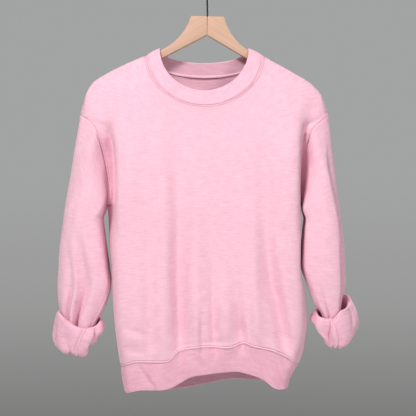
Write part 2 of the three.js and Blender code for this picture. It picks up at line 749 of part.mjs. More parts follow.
function hangerArm(direction) {
  const { halfTop, neckCurve, apex, lowerSlope, shoulderX, shoulderDown, slope } = HANGER;
  const { tip, nose, thickness, edge } = HANGER;
  const middle = SEAM_GAP / 2;
  const topAt = (x) => -(shoulderDown + (x - shoulderX) * slope);
  const lowerAt = (x) => -(apex + x * lowerSlope);
  const shape = new THREE.Shape();
  shape.moveTo(middle, 0);
  shape.lineTo(halfTop, 0);
  shape.splineThru([...neckCurve, [shoulderX, -shoulderDown]].map(([x, y]) => new THREE.Vector2(x, y)));
  shape.lineTo(tip - nose, topAt(tip - nose));
  shape.quadraticCurveTo(tip, topAt(tip), tip, topAt(tip) - nose);
  shape.quadraticCurveTo(tip, lowerAt(tip), tip - nose, lowerAt(tip - nose));
  shape.lineTo(middle, lowerAt(middle));
  shape.closePath();
  const geometry = new THREE.ExtrudeGeometry(shape, {
    depth: thickness - 2 * edge, curveSegments: 3, bevelEnabled: true,
    bevelThickness: edge, bevelSize: edge, bevelOffset: -edge, bevelSegments: 1,
  });
  geometry.translate(0, 0, edge - thickness / 2);
  geometry.rotateX(Math.PI / 2);
  if (direction < 0) geometry.rotateZ(Math.PI);
  const bore = HOOK.wire + HOOK.clearance;
  const hole = new THREE.CylinderGeometry(bore, bore, 2 * HOOK.seat, 12);
  hole.rotateX(Math.PI / 2);
  hole.rotateY(-HANGER.tilt);
  return geometryOf(solidOf(geometry).subtract(solidOf(hole)));
}

function hangerGroup() {
  const group = new THREE.Group();
  group.position.z = NECK_LEVEL - HANGER.topDrop;
  group.rotation.y = HANGER.tilt;
  group.add(named('hanger_arm_left', hangerArm(-1), BEECH));
  group.add(named('hanger_arm_right', hangerArm(1), BEECH));
  return group;
}

// Wire hook: a straight stem, a bend to one side and a round crook over the rail
function hookMesh() {
  const { wire, radius, stemTop, seat, clearance, kink, crookAngles } = HOOK;
  const woodTop = NECK_LEVEL - HANGER.topDrop;
  const crookZ = wire - radius;
  const onCrook = (degrees) => {
    const a = THREE.MathUtils.degToRad(degrees);
    return new THREE.Vector3(radius * Math.cos(a), 0, crookZ + radius * Math.sin(a));
  };
  const route = [
    new THREE.Vector3(0, 0, woodTop - seat + clearance),
    new THREE.Vector3(0, 0, woodTop),
    new THREE.Vector3(0, 0, mix(woodTop, stemTop, 0.5)),
    new THREE.Vector3(0, 0, stemTop),
    new THREE.Vector3(kink.x, 0, stemTop + kink.up),
    ...crookAngles.map(onCrook),
  ];
  const section = new THREE.Shape().absarc(0, 0, wire, 0, 2 * Math.PI);
  const geometry = new THREE.ExtrudeGeometry(section, {
    steps: 30, curveSegments: 4, bevelEnabled: false,
    extrudePath: new THREE.CatmullRomCurve3(route, false, 'centripetal'),
  });
  return named('hanger_hook', geometry, BLACK_STEEL);
}

const sweatshirt = new THREE.Group();
shareSeams();
for (const piece of pieces) {
  drawBack(piece);
  sweatshirt.add(named(piece.name, wallGeometry(piece), piece.look));
}
sweatshirt.add(hangerGroup());
sweatshirt.add(hookMesh());

export default sweatshirt;
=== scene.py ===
import math

import bpy
import numpy as np
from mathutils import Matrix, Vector


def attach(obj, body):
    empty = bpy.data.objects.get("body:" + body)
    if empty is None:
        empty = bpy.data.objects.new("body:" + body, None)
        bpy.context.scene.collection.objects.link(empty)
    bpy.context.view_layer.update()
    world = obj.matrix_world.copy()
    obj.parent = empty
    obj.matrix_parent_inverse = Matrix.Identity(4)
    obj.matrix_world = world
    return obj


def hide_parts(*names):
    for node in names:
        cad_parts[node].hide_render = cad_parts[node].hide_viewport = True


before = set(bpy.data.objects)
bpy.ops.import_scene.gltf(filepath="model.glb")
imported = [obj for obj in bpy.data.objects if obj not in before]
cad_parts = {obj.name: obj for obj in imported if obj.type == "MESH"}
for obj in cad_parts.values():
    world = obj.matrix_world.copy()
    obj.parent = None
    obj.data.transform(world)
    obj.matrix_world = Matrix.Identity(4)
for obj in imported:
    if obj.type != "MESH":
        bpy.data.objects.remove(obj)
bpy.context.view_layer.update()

# View, floor and light
# The sweatshirt is seen straight on from 2.5 m away, in front of a plain grey ground. The strongest
# soft light stands above the viewer's left, with weaker ones to the right, below and behind.
MM = 0.001
VIEW = {"x": 0.001, "away": 2.5, "height": -0.4807, "lens": 106.06, "sensor": 36.0}
bpy.ops.object.select_all(action="DESELECT")
bpy.ops.object.camera_add(
    location=(VIEW["x"], -VIEW["away"], VIEW["height"]), rotation=(math.radians(90), 0, 0)
)
camera = bpy.context.object
camera.data.lens = VIEW["lens"]
camera.data.sensor_width = VIEW["sensor"]
bpy.context.scene.camera = camera
bpy.context.scene.view_settings.view_transform = "Standard"

# name, place and the place it shines at (m), width and height (m), watts, colour
LIGHTS = [
    ("light_above", (-1.15, -2.4, 1.75), (0, 0, -0.36), (0.8, 0.6), 103, (1.0, 0.99, 0.98)),
    ("light_right", (1.9, -2.2, 0.5), (0, 0, -0.42), (0.8, 1.0), 28, (0.98, 0.99, 1.0)),
    ("light_below", (0, -1.5, -1.35), (0, 0, -0.75), (1.2, 0.5), 4, (1.0, 0.99, 0.99)),
    ("light_behind", (0.8, 2.4, 0.7), (0, 0, -0.40), (1.8, 1.4), 62, (1.0, 1.0, 1.0)),
]
for name, spot, aim, size, watts, colour in LIGHTS:
    bpy.ops.object.light_add(type="AREA", location=spot)
    lamp = bpy.context.object
    lamp.name = name
    lamp.rotation_euler = (Vector(aim) - Vector(spot)).to_track_quat("-Z", "Y").to_euler()
    lamp.data.shape = "RECTANGLE"
    lamp.data.size, lamp.data.size_y = size
    lamp.data.energy = watts
    lamp.data.color = colour


class Feed:
    """What one socket of a material carries, with sums worked out by Math nodes."""

    def __init__(self, tree, socket):
        self.tree, self.socket = tree, socket

    def sum(self, kind, *values):
        return make(self.tree, "ShaderNodeMath", {"operation": kind}, dict(enumerate(values)))

    def sine(self):
        return self.sum("SINE", self)

    def __add__(self, other):
        return self.sum("ADD", self, other)

    def __sub__(self, other):
        return self.sum("SUBTRACT", self, other)

    def __mul__(self, other):
        return self.sum("MULTIPLY", self, other)

    def __rsub__(self, other):
        return self.sum("SUBTRACT", other, self)

    __radd__ = __add__
    __rmul__ = __mul__


def make(tree, kind, settings=None, sockets=None, out=0):
    """Adds a node: first its settings, then the values or links of its sockets."""
    node = tree.nodes.new(kind)
    for name, value in (settings or {}).items():
        if name == "stops":
            ramp = node.color_ramp
            while len(ramp.elements) < len(value):
                ramp.elements.new(1.0)
            for element, (spot, colour) in zip(ramp.elements, value):
                element.position, element.color = spot, (*colour, 1)
        else:
            setattr(node, name, value)
    for name, value in (sockets or {}).items():
        if isinstance(value, Feed):
            tree.links.new(value.socket, node.inputs[name])
        else:
            node.inputs[name].default_value = value
    return Feed(tree, node.outputs[out])


def new_material(name, **constants):
    """A material with one shader, and the constants that are the same all over it."""
    material = bpy.data.materials.new(name)
    material.use_nodes = True
    shader = material.node_tree.nodes["Principled BSDF"]
    for socket, value in constants.items():
        shader.inputs[socket.replace("_", " ")].default_value = value
    return material, material.node_tree, shader


def between(tree, share, first, second):
    """One colour turning into another as the share goes from 0 to 1."""
    return make(
        tree, "ShaderNodeMix", {"data_type": "RGBA", "clamp_factor": True},
        {0: share, 6: first, 7: second}, out=2,
    )


def noise(tree, place, scale, detail=3.0, rough=0.5):
    return make(
        tree, "ShaderNodeTexNoise", {},
        {"Vector": place, "Scale": scale, "Detail": detail, "Roughness": rough},
    )


def bumps(tree, shader, height, distance, below=None):
    """Relief by shading: a height in metres of the given distance, over an older relief."""
    sockets = {"Height": height, "Distance": distance, "Strength": 1.0}
    if below is not None:
        sockets["Normal"] = below
    relief = make(tree, "ShaderNodeBump", {}, sockets)
    tree.links.new(relief.socket, shader.inputs["Normal"])
    return relief


# The pale ground all round, deeper in tone below the level of the view
GROUND = [
    (0.40, (0.165, 0.165, 0.163)), (0.46, (0.320, 0.321, 0.318)),
    (0.51, (0.365, 0.369, 0.369)), (0.62, (0.365, 0.369, 0.369)),
]
STUDIO_FILL = 0.6
ground = bpy.data.worlds.new("pale_ground")
bpy.context.scene.world = ground
ground.use_nodes = True
tree = ground.node_tree
sky_way = make(tree, "ShaderNodeTexCoord", out=0)
level = make(tree, "ShaderNodeSeparateXYZ", {}, {"Vector": sky_way}, out=2)
tone = make(tree, "ShaderNodeValToRGB", {"stops": GROUND}, {"Fac": level * 0.5 + 0.5})
tree.links.new(tone.socket, tree.nodes["Background"].inputs["Color"])
# the world lights the garment less than it shows behind it, so that it fills the folds only softly
seen = make(tree, "ShaderNodeLightPath", out=0)
strength = STUDIO_FILL + seen * (1 - STUDIO_FILL)
tree.links.new(strength.socket, tree.nodes["Background"].inputs["Strength"])

FLOOR = {"radius": 2.2, "height": -1.45}
bpy.ops.object.select_all(action="DESELECT")
bpy.ops.mesh.primitive_circle_add(
    vertices=96, radius=FLOOR["radius"], fill_type="NGON", location=(0, 0, FLOOR["height"])
)
floor = bpy.context.object
floor.name = "pale_floor"
plaster, tree, shader = new_material("plaster_floor", Roughness=0.85)
place = make(tree, "ShaderNodeTexCoord", out=3)
tree.links.new(
    between(tree, noise(tree, place, 6.0), (0.60, 0.60, 0.59, 1), (0.66, 0.66, 0.65, 1)).socket,
    shader.inputs["Base Color"],
)
floor.data.materials.append(plaster)


# Hanger: the wire hook
# Black steel wire, bent cold over a round former and seated in a hole in the top of the wood. Its
# end is ground round. The origin is the place inside the crook where a rail carries it.
NECK_LEVEL = -157.0
HANGER = {
    "top_drop": -67.0, "half_top": 34.0, "thickness": 11.0, "edge": 2.0, "tilt": 1.6,
    "apex": 39.0, "lower_slope": 0.552, "shoulder_x": 97.7, "shoulder_down": 75.0,
    "slope": 0.572, "tip": 222.0, "nose": 9.0, "glue_line": 0.15,
    "neck_curve": [(34.0, 0.0), (40.0, -17.5), (50.0, -35.0), (65.0, -52.5), (82.5, -65.5),
                   (97.7, -75.0)],
}
HOOK = {
    "wire": 1.9, "radius": 20.5, "stem_top": -54.0, "seat": 18.0, "clearance": 0.3,
    "kink_x": 4.5, "kink_up": 12.0,
    "crook_angles": [-38, -8, 22, 56, 90, 124, 158, 190, 203, 206, 207.5],
    "tip_sizes": {203: 1.0, 206: 0.82, 207.5: 0.3},
}
WOOD_TOP = NECK_LEVEL - HANGER["top_drop"]


def through_points(points, steps):
    """A smooth centripetal line through the points, as many steps between each two of them."""
    points = np.array(points, float)
    first, last = 2 * points[0] - points[1], 2 * points[-1] - points[-2]
    line = []
    padded = np.vstack([first, points, last])
    for i in range(1, len(padded) - 2):
        p = padded[i - 1:i + 3]
        gaps = [max(np.linalg.norm(p[k + 1] - p[k]) ** 0.5, 1e-6) for k in range(3)]
        m1 = (p[2] - p[1]) + gaps[1] * ((p[1] - p[0]) / gaps[0] - (p[2] - p[0]) / (gaps[0] + gaps[1]))
        m2 = (p[2] - p[1]) + gaps[1] * ((p[3] - p[2]) / gaps[2] - (p[3] - p[1]) / (gaps[1] + gaps[2]))
        for t in np.arange(steps) / steps:
            line.append(
                (2 * t**3 - 3 * t**2 + 1) * p[1] + (t**3 - 2 * t**2 + t) * m1
                + (3 * t**2 - 2 * t**3) * p[2] + (t**3 - t**2) * m2
            )
    line.append(points[-1])
    return np.array(line)


def wire_along(name, line, radius, sizes, sides):
    """A round wire as a curve with a bevel, made a mesh."""
    bpy.ops.object.select_all(action="DESELECT")
    bpy.ops.curve.primitive_bezier_curve_add(radius=1.0, location=(0, 0, 0))
    wire = bpy.context.object
    wire.name = name
    wire.data.splines.clear()
    spline = wire.data.splines.new("POLY")
    spline.points.add(len(line) - 1)
    for k, point in enumerate(line):
        spline.points[k].co = (*point, 1)
        spline.points[k].radius = sizes[k]
    wire.data.dimensions = "3D"
    wire.data.bevel_depth = radius
    wire.data.bevel_resolution = sides
    wire.data.use_fill_caps = True
    bpy.ops.object.convert(target="MESH")
    wire = bpy.context.object
    bpy.ops.object.shade_smooth_by_angle(angle=math.radians(50))
    return wire


route = [(0, 0, WOOD_TOP - HOOK["seat"] + HOOK["clearance"]), (0, 0, WOOD_TOP)]
route += [(0, 0, (WOOD_TOP + HOOK["stem_top"]) / 2), (0, 0, HOOK["stem_top"])]
route += [(HOOK["kink_x"], 0, HOOK["stem_top"] + HOOK["kink_up"])]
straight = len(route)
for degrees in HOOK["crook_angles"]:
    angle = math.radians(degrees)
    route.append((
        HOOK["radius"] * math.cos(angle), 0,
        HOOK["wire"] - HOOK["radius"] + HOOK["radius"] * math.sin(angle),
    ))
WIRE_STEPS = 8
hook_line = through_points(route, WIRE_STEPS)
knots = np.arange(len(route)) * WIRE_STEPS
thick = [1.0] * straight + [HOOK["tip_sizes"].get(a, 1.0) for a in HOOK["crook_angles"]]
hook = wire_along(
    "hook", hook_line * MM, HOOK["wire"] * MM,
    sizes=np.interp(np.arange(len(hook_line)), knots, thick), sides=6,
)
steel, tree, shader = new_material("black_steel_wire", Metallic=1.0)
place = make(tree, "ShaderNodeTexCoord", out=3)
worn = noise(tree, place, 260.0, 4.0, 0.6)
tree.links.new(
    between(tree, worn, (0.014, 0.016, 0.020, 1), (0.050, 0.052, 0.058, 1)).socket,
    shader.inputs["Base Color"],
)
tree.links.new((worn * 0.22 + 0.30).socket, shader.inputs["Roughness"])
bumps(tree, shader, noise(tree, place, 1400.0, 2.0), 0.00002)
hook.data.materials.append(steel)
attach(hook, "root")
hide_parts("hanger_hook")


# Hanger: the two wooden arms
# Two flat arms of pale beech, sawn to one outline, rounded at the edges and glued end to end at
# the middle. The garment hides all but the top of them. A hole at the joint takes the wire.
GRAIN = {"pale": (0.69, 0.445, 0.33, 1), "dark": (0.51, 0.31, 0.21, 1), "fleck": (0.35, 0.19, 0.11, 1)}
OUTLINE_STEPS = 6


def hanger_outline(direction):
    """Corner points of one arm, from the middle out along its top and back below."""
    size = HANGER
    top = lambda x: -(size["shoulder_down"] + (x - size["shoulder_x"]) * size["slope"])
    low = lambda x: -(size["apex"] + x * size["lower_slope"])
    neck = np.array(size["neck_curve"])
    points = [(size["glue_line"], 0.0)]
    ghosts = np.vstack([neck[0], neck, neck[-1]])
    for i in range(1, len(ghosts) - 2):
        a, b, c, d = ghosts[i - 1:i + 3]
        for t in np.arange(OUTLINE_STEPS) / OUTLINE_STEPS:
            m1, m2 = (c - a) / 2, (d - b) / 2
            points.append(tuple(
                (2 * t**3 - 3 * t**2 + 1) * b + (t**3 - 2 * t**2 + t) * m1
                + (3 * t**2 - 2 * t**3) * c + (t**3 - t**2) * m2
            ))
    points.append(tuple(neck[-1]))
    inner, tip = size["tip"] - size["nose"], size["tip"]
    over = [(inner, top(inner)), (tip, top(tip)), (tip, top(tip) - size["nose"])]
    under = [over[-1], (tip, low(tip)), (inner, low(inner))]
    for a, b, c in (over, under):
        for t in np.arange(OUTLINE_STEPS) / OUTLINE_STEPS:
            points.append(tuple(
                (1 - t) ** 2 * np.array(a) + 2 * t * (1 - t) * np.array(b) + t**2 * np.array(c)
            ))
    points.append((inner, low(inner)))
    points.append((size["glue_line"], low(size["glue_line"])))
    return [(direction * x, z) for x, z in points]


def lay_map(piece, spots):
    """Writes a piece's own map in metres: one (u, v) for each vertex."""
    if not piece.data.uv_layers:
        piece.data.uv_layers.new(name="UVMap")
    vertex_of = np.zeros(len(piece.data.loops), int)
    piece.data.loops.foreach_get("vertex_index", vertex_of)
    piece.data.uv_layers[0].data.foreach_set("uv", np.asarray(spots)[vertex_of].ravel())


def vertex_places(piece):
    spots = np.zeros(len(piece.data.vertices) * 3)
    piece.data.vertices.foreach_get("co", spots)
    return spots.reshape(-1, 3)


beech, tree, shader = new_material("beech_wood", Specular_IOR_Level=0.35)
place = make(tree, "ShaderNodeUVMap")
along = make(tree, "ShaderNodeMapping", {}, {"Vector": place, "Scale": (3.0, 60.0, 1.0)})
short = make(tree, "ShaderNodeMapping", {}, {"Vector": place, "Scale": (130.0, 1500.0, 1.0)})
rings = noise(tree, along, 3.0, 4.0, 0.55)
flecks = make(
    tree, "ShaderNodeValToRGB", {"stops": [(0.60, (0, 0, 0)), (0.74, (1, 1, 1))]},
    {"Fac": noise(tree, short, 1.0, 2.0, 0.5)},
)
colour = between(tree, rings, GRAIN["pale"], GRAIN["dark"])
colour = between(tree, flecks * 0.55, colour, GRAIN["fleck"])
tree.links.new(colour.socket, shader.inputs["Base Color"])
tree.links.new((rings * 0.15 + 0.48).socket, shader.inputs["Roughness"])
bumps(tree, shader, rings * 0.6 - flecks * 0.8, 0.00008)

tilt = math.radians(HANGER["tilt"])
for side, direction in (("left", -1), ("right", 1)):
    outline = hanger_outline(direction)
    bpy.ops.object.select_all(action="DESELECT")
    bpy.ops.mesh.primitive_circle_add(vertices=len(outline), radius=1.0, fill_type="NGON")
    arm = bpy.context.object
    arm.name = f"hanger_arm_{side}_wood"
    front_face = -HANGER["thickness"] / 2
    for vertex, (x, z) in zip(arm.data.vertices, outline):
        vertex.co = (x * MM, front_face * MM, z * MM)
    bpy.ops.object.mode_set(mode="EDIT")
    bpy.ops.mesh.select_all(action="SELECT")
    bpy.ops.mesh.extrude_region_move(
        TRANSFORM_OT_translate={"value": (0, HANGER["thickness"] * MM, 0)}
    )
    bpy.ops.mesh.select_all(action="SELECT")
    bpy.ops.mesh.normals_make_consistent(inside=False)
    bpy.ops.object.mode_set(mode="OBJECT")
    rounding = arm.modifiers.new("rounded_edges", "BEVEL")
    rounding.width = HANGER["edge"] * MM
    rounding.segments = 4
    rounding.limit_method = "ANGLE"
    rounding.angle_limit = math.radians(60)
    bpy.ops.object.modifier_apply(modifier=rounding.name)
    bpy.ops.mesh.primitive_cylinder_add(
        vertices=32, radius=(HOOK["wire"] + HOOK["clearance"]) * MM,
        depth=2 * HOOK["seat"] * MM, location=(0, 0, 0),
    )
    drill = bpy.context.object
    bpy.ops.object.select_all(action="DESELECT")
    bpy.context.view_layer.objects.active = arm
    arm.select_set(True)
    hole = arm.modifiers.new("wire_hole", "BOOLEAN")
    hole.operation, hole.object, hole.solver = "DIFFERENCE", drill, "EXACT"
    bpy.ops.object.modifier_apply(modifier=hole.name)
    bpy.data.objects.remove(drill)
    spots = vertex_places(arm)
    lean = math.atan(HANGER["slope"]) * direction
    lay_map(arm, np.column_stack([
        spots[:, 0] * math.cos(lean) - spots[:, 2] * math.sin(lean),
        spots[:, 0] * math.sin(lean) + spots[:, 2] * math.cos(lean) + spots[:, 1],
    ]))
    arm.rotation_euler = (0, tilt, 0)
    arm.location = (0, 0, WOOD_TOP * MM)
    bpy.ops.object.transform_apply(location=True, rotation=True, scale=True)
    bpy.ops.object.shade_smooth_by_angle(angle=math.radians(35))
    arm.data.materials.append(beech)
    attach(arm, "root")
    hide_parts(f"hanger_arm_{side}")


# Front and back panels
# Two panels of brushed sweatshirt fleece, 2.2 mm thick, knitted smooth outside. They are sewn to
# each other at the shoulders and sides, and hang from the hanger in long soft folds.
FLEECE = 2.2
SEAM_GAP = 0.3
# how far below the neck level each side's seams start and end
SHOULDER_START = {"left": 11.5, "right": 12.5}
SHOULDER_END = {"left": 132.0, "right": 131.0}
UNDERARM = {"left": 318.0, "right": 316.0}
WAIST_SEAM_SIDE = {"left": 644.0, "right": 645.0}
ARMHOLE_DEPTH = {"front": {"left": 56, "right": 50}, "back": {"left": 52, "right": 50}}
# how far the folds beside the sleeves draw the armhole seam in, and over which shares of its run
ARMHOLE_DRAWN_IN = {"front": {"left": 32, "right": 36}, "back": {"left": 12, "right": 12}}
DRAWN_RUN = {"start": 0.16, "rise": 0.34, "fall": 0.3}
NECK_SEAM = {"centre_x": -5.5, "half_width": 117.5, "front": 116.0, "back": 53.0}
WAIST_TUCK = {"share": 0.1, "from_row": 2.7}
WAIST_CALM = {"share": 0.45, "from_row": 2.86}
CHEST_SHARE = 0.56
PLAIN_RIM_SHARE = 0.3
NECK_REACH = 1.3
HEM_REACH = 0.8


def knot_slopes(knots, values, steady):
    secants = np.diff(values, axis=0) / np.diff(knots)[:, None]
    slopes = np.empty_like(values)
    slopes[0], slopes[-1] = secants[0], secants[-1]
    before, after = secants[:-1], secants[1:]
    if steady:
        rising = before * after > 0
        total = np.where(rising, before + after, 1.0)
        slopes[1:-1] = np.where(rising, 2 * before * after / total, 0.0)
    else:
        left, right = np.diff(knots)[:-1, None], np.diff(knots)[1:, None]
        slopes[1:-1] = (before * right + after * left) / (left + right)
    return slopes


def curve_through(knots, values, at, steady=True, slopes=None):
    """A smooth curve through a row of values, read at many places; each place may have its own."""
    knots = np.asarray(knots, float)
    values = np.asarray(values, float)
    if values.ndim == 1:
        values = values[:, None]
    if slopes is None:
        slopes = knot_slopes(knots, values, steady)
    at = np.clip(np.asarray(at, float), knots[0], knots[-1])
    i = np.clip(np.searchsorted(knots, at, side="left") - 1, 0, len(knots) - 2)
    own = np.arange(at.size) if values.shape[1] > 1 else np.zeros(at.size, int)
    span = knots[i + 1] - knots[i]
    t = (at - knots[i]) / span
    return (
        (2 * t**3 - 3 * t**2 + 1) * values[i, own] + (t**3 - 2 * t**2 + t) * slopes[i, own] * span
        + (3 * t**2 - 2 * t**3) * values[i + 1, own] + (t**3 - t**2) * slopes[i + 1, own] * span
    )


class Table:
    """Rows of sizes, the first column the place; every other column is read as a smooth curve."""

    def __init__(self, names, rows):
        rows = np.array(rows, float)
        self.knots = rows[:, 0]
        self.columns = {name: rows[:, k + 1] for k, name in enumerate(names[1:])}

    def __call__(self, at):
        at = np.asarray(at, float)
        return {
            name: curve_through(self.knots, values, at.ravel()).reshape(at.shape)
            for name, values in self.columns.items()
        }


def smooth(t):
    t = np.clip(t, 0, 1)
    return t * t * (3 - 2 * t)


def mix(a, b, t):
    return a + (b - a) * t


# Where the panels' rims, turns and faces lie at each drop below the neck level
RIM = Table(["drop", "left", "right"], [
    (5.4, -113, 97), (12, -124, 111.5), (21.7, -146, 127.5), (38, -182.5, 156), (54, -211, 182.5),
    (70.7, -235, 210), (87, -245.5, 226.5), (103, -250.5, 235.5), (131.5, -258.5, 245),
    (148, -238, 230), (158, -230, 218), (171, -223, 208), (204, -214, 201), (248, -205, 198),
    (288, -201, 195), (318, -204.5, 192), (345, -202, 188.5), (400, -199, 187), (450, -195, 186),
    (490, -193, 196), (560, -188, 201), (608, -183, 197), (650, -176, 181),
])
FRONT_X = Table(["drop", "turn_left", "edge_left", "edge_right", "turn_right"], [
    (6, -104, -82, 74, 90), (38, -175, -130, 112, 149), (70, -227, -172, 155, 202),
    (103, -243, -188, 176, 228), (131, -244, -189, 184, 231), (145, -229, -188, 187, 218),
    (158, -211, -187, 187, 201), (196, -193, -184, 186, 190), (235, -187, -182, 185, 187.5),
    (286, -186, -182, 184, 186.5), (320, -189, -183, 184, 187), (400, -195, -184, 183, 187),
    (450, -192, -182, 183, 186), (490, -191, -180, 186, 195), (560, -186, -176, 187, 199),
    (650, -173, -163, 168, 178),
])
FRONT_Y = Table(["drop", "turn_left", "edge_left", "chest", "centre", "edge_right", "turn_right"], [
    (6, -10, -17, -20, -21, -17, -10), (38, -11, -21, -28, -32, -21, -11),
    (70, -14, -27, -36, -40, -27, -14), (103, -19, -36, -43, -44, -36, -19),
    (131, -25, -44, -48, -49, -44, -24), (145, -33, -48, -51, -51, -48, -30),
    (158, -36, -51, -53, -53, -52, -32), (196, -29, -59, -59, -59, -61, -25),
    (235, -23, -63, -64, -64, -65, -18), (286, -22, -66, -68, -68, -67, -18),
    (320, -26, -67, -70, -70, -67, -25), (400, -34, -67, -72, -72, -66, -34),
    (490, -34, -66, -74, -75, -64, -33), (560, -33, -64, -74, -76, -63, -33),
    (650, -31, -61, -73, -75, -59, -31),
])
BACK_Y = Table(["drop", "turn", "edge", "chest", "centre"], [
    (6, 10, 16, 19, 19), (38, 11, 20, 27, 29), (70, 14, 25, 34, 36), (103, 19, 33, 39, 40),
    (131, 25, 39, 43, 43), (145, 32, 42, 45, 45), (158, 38, 45, 47, 47), (196, 36, 51, 52, 51),
    (235, 36, 56, 56, 55), (286, 34, 58, 59, 58), (320, 32, 60, 61, 59), (400, 33, 61, 63, 61),
    (490, 33, 60, 64, 63), (560, 32, 59, 65, 65), (650, 30, 57, 64, 65),
])
SECTION_STOPS = np.array([-1, -0.86, -0.72, -0.4, 0, 0.4, 0.72, 0.86, 1])
HEM = {
    "front": Table(["x", "seam", "edge"], [
        (-176, 644, 695), (-135, 632, 686), (-99, 633, 686), (-78, 631, 682), (-54, 611, 670),
        (-33, 605, 659), (0, 602, 654), (36, 604, 650), (65, 595, 648.5), (84, 601, 652),
        (119, 609, 663), (155, 625, 684), (182, 645, 686),
    ]),
    "back": Table(["x", "seam", "edge"], [
        (-176, 644, 695), (-110, 651, 702), (-50, 645, 697), (0, 637, 688), (60, 628, 678),
        (120, 631, 681), (182, 645, 686),
    ]),
}
CENTRE_DROP = Table(["row", "front", "back"], [
    (0, NECK_SEAM["front"], NECK_SEAM["back"]), (1, 170, 132), (2, 326, 322), (3, 612, 640),
])

# Creases that run down the cloth: at each drop the place, the half width to the left and to the
# right, and the height, which stands out where it is above nothing and sinks in where it is below
DOWN = ["drop", "x", "left", "right", "height"]
DOWN_CREASES = {
    "front": {
        "left ridge": [(110, -94, 24, 20, 0), (200, -92, 22, 20, 3), (300, -90, 21, 19, 5.5),
                       (450, -88, 20, 15, 7), (600, -87, 18, 13, 6), (650, -88, 18, 13, 3)],
        "left trough": [(140, -58, 18, 20, 0), (230, -58, 16, 19, -4), (340, -58, 14, 18, -10),
                        (450, -57, 13, 15, -19), (560, -55, 12, 14, -22), (625, -54, 10, 13, -15),
                        (650, -54, 10, 14, -9)],
        "middle ridge": [(150, -24, 18, 20, 0), (300, -24, 15, 18, 3), (450, -22, 13, 15, 5.5),
                         (560, -21, 11, 12, 7), (612, -20, 10, 11, 5), (650, -20, 9, 10, 2)],
        "middle tuck": [(400, 8, 10, 12, 0), (480, 10, 9, 10, -5), (560, 13, 8, 8, -11),
                        (596, 14, 7, 8, -10), (640, 14, 6, 8, -3)],
        "small tuck": [(530, -14, 5, 5, 0), (560, -12, 5, 5, -5), (592, -10, 5, 5, -8),
                       (625, -10, 4, 6, -2)],
        "lower ridge": [(380, 38, 14, 14, 0), (480, 38, 13, 12, 4), (570, 37, 11, 11, 7),
                        (605, 38, 9, 10, 4), (640, 38, 9, 11, 1)],
        "pucker": [(480, 60, 12, 8, 0), (540, 66, 13, 6, -9), (575, 71, 13, 4.5, -17),
                   (600, 73, 11, 4.5, -16), (640, 72, 9, 5, -5)],
        "right ridge": [(300, 90, 20, 16, 0), (400, 92, 16, 14, 4), (470, 94, 15, 13, 7),
                        (560, 98, 12, 13, 8), (610, 102, 11, 13, 5), (650, 104, 12, 14, 2)],
        "right trough": [(180, 121, 22, 18, 0), (280, 121, 19, 16, -5), (370, 119, 17, 15, -9),
                         (470, 131, 18, 12, -20), (520, 143, 17, 12, -22), (580, 152, 15, 12, -19),
                         (650, 158, 12, 14, -7)],
        "left outer ridge": [(380, -142, 16, 16, 0), (480, -140, 16, 15, 3),
                             (600, -136, 14, 14, 3.5), (650, -134, 14, 14, 1)],
        "left outer trough": [(330, -118, 12, 12, 0), (450, -116, 11, 11, -2.4),
                              (580, -113, 10, 11, -4), (650, -112, 9, 10, -2)],
        "armpit trough left": [(80, -226, 14, 14, 0), (110, -214, 13, 13, -3), (160, -202, 12, 10, -8),
                               (212, -194, 12, 7, -13), (268, -191, 12, 6, -16),
                               (330, -190, 12, 7, -13), (400, -188, 12, 10, 0)],
        "armpit trough right": [(90, 222, 14, 14, 0), (124, 210, 14, 14, -4), (170, 198, 12, 12, -8),
                                (220, 194, 7, 12, -13), (300, 191, 7, 12, -12), (380, 188, 10, 12, 0)],
        "chest sag left": [(120, -60, 24, 24, 0), (190, -72, 22, 26, -1.2), (260, -70, 22, 24, 0)],
        "chest swell right": [(110, 70, 30, 30, 0), (190, 78, 30, 28, 2.2), (290, 84, 26, 26, 0)],
    },
    "back": {
        "left back trough": [(230, -112, 30, 26, 0), (340, -108, 26, 24, -5), (500, -100, 22, 24, -8),
                             (610, -96, 18, 20, -9), (650, -95, 16, 18, -7)],
        "back ridge": [(260, -20, 30, 30, 0), (400, -18, 28, 28, 5), (540, -14, 22, 24, 6.5),
                       (650, -12, 18, 20, 4)],
        "back tuck": [(430, 28, 12, 14, 0), (540, 30, 11, 12, -3.5), (620, 32, 8, 10, -5),
                      (650, 32, 8, 10, -3)],
        "right back trough": [(200, 76, 26, 26, 0), (330, 82, 24, 24, -6), (480, 90, 22, 20, -9),
                              (600, 96, 18, 16, -9), (650, 98, 16, 15, -7)],
        "right back ridge": [(300, 128, 20, 18, 0), (450, 132, 18, 16, 4), (600, 138, 16, 14, 4),
                             (650, 140, 15, 13, 2)],
        "left outer back ridge": [(320, -146, 18, 18, 0), (460, -144, 16, 16, 3.5),
                                  (600, -140, 14, 15, 4), (650, -138, 14, 14, 2)],
        "small back tuck": [(520, -56, 7, 6, 0), (580, -54, 6, 5, -2.5), (640, -54, 6, 5, -3.5)],
        "shoulder blade drag": [(120, 156, 20, 20, 0), (180, 150, 22, 20, -4),
                                (280, 132, 20, 18, -4.5), (370, 122, 18, 16, 0)],
        "left blade drag": [(110, -168, 20, 20, 0), (180, -156, 20, 20, -3.2),
                            (260, -142, 18, 18, -2.6), (340, -132, 16, 16, 0)],
        "neck drop fold": [(60, -34, 20, 26, 0), (110, -30, 24, 30, -2), (190, -24, 26, 28, 0)],
    },
}
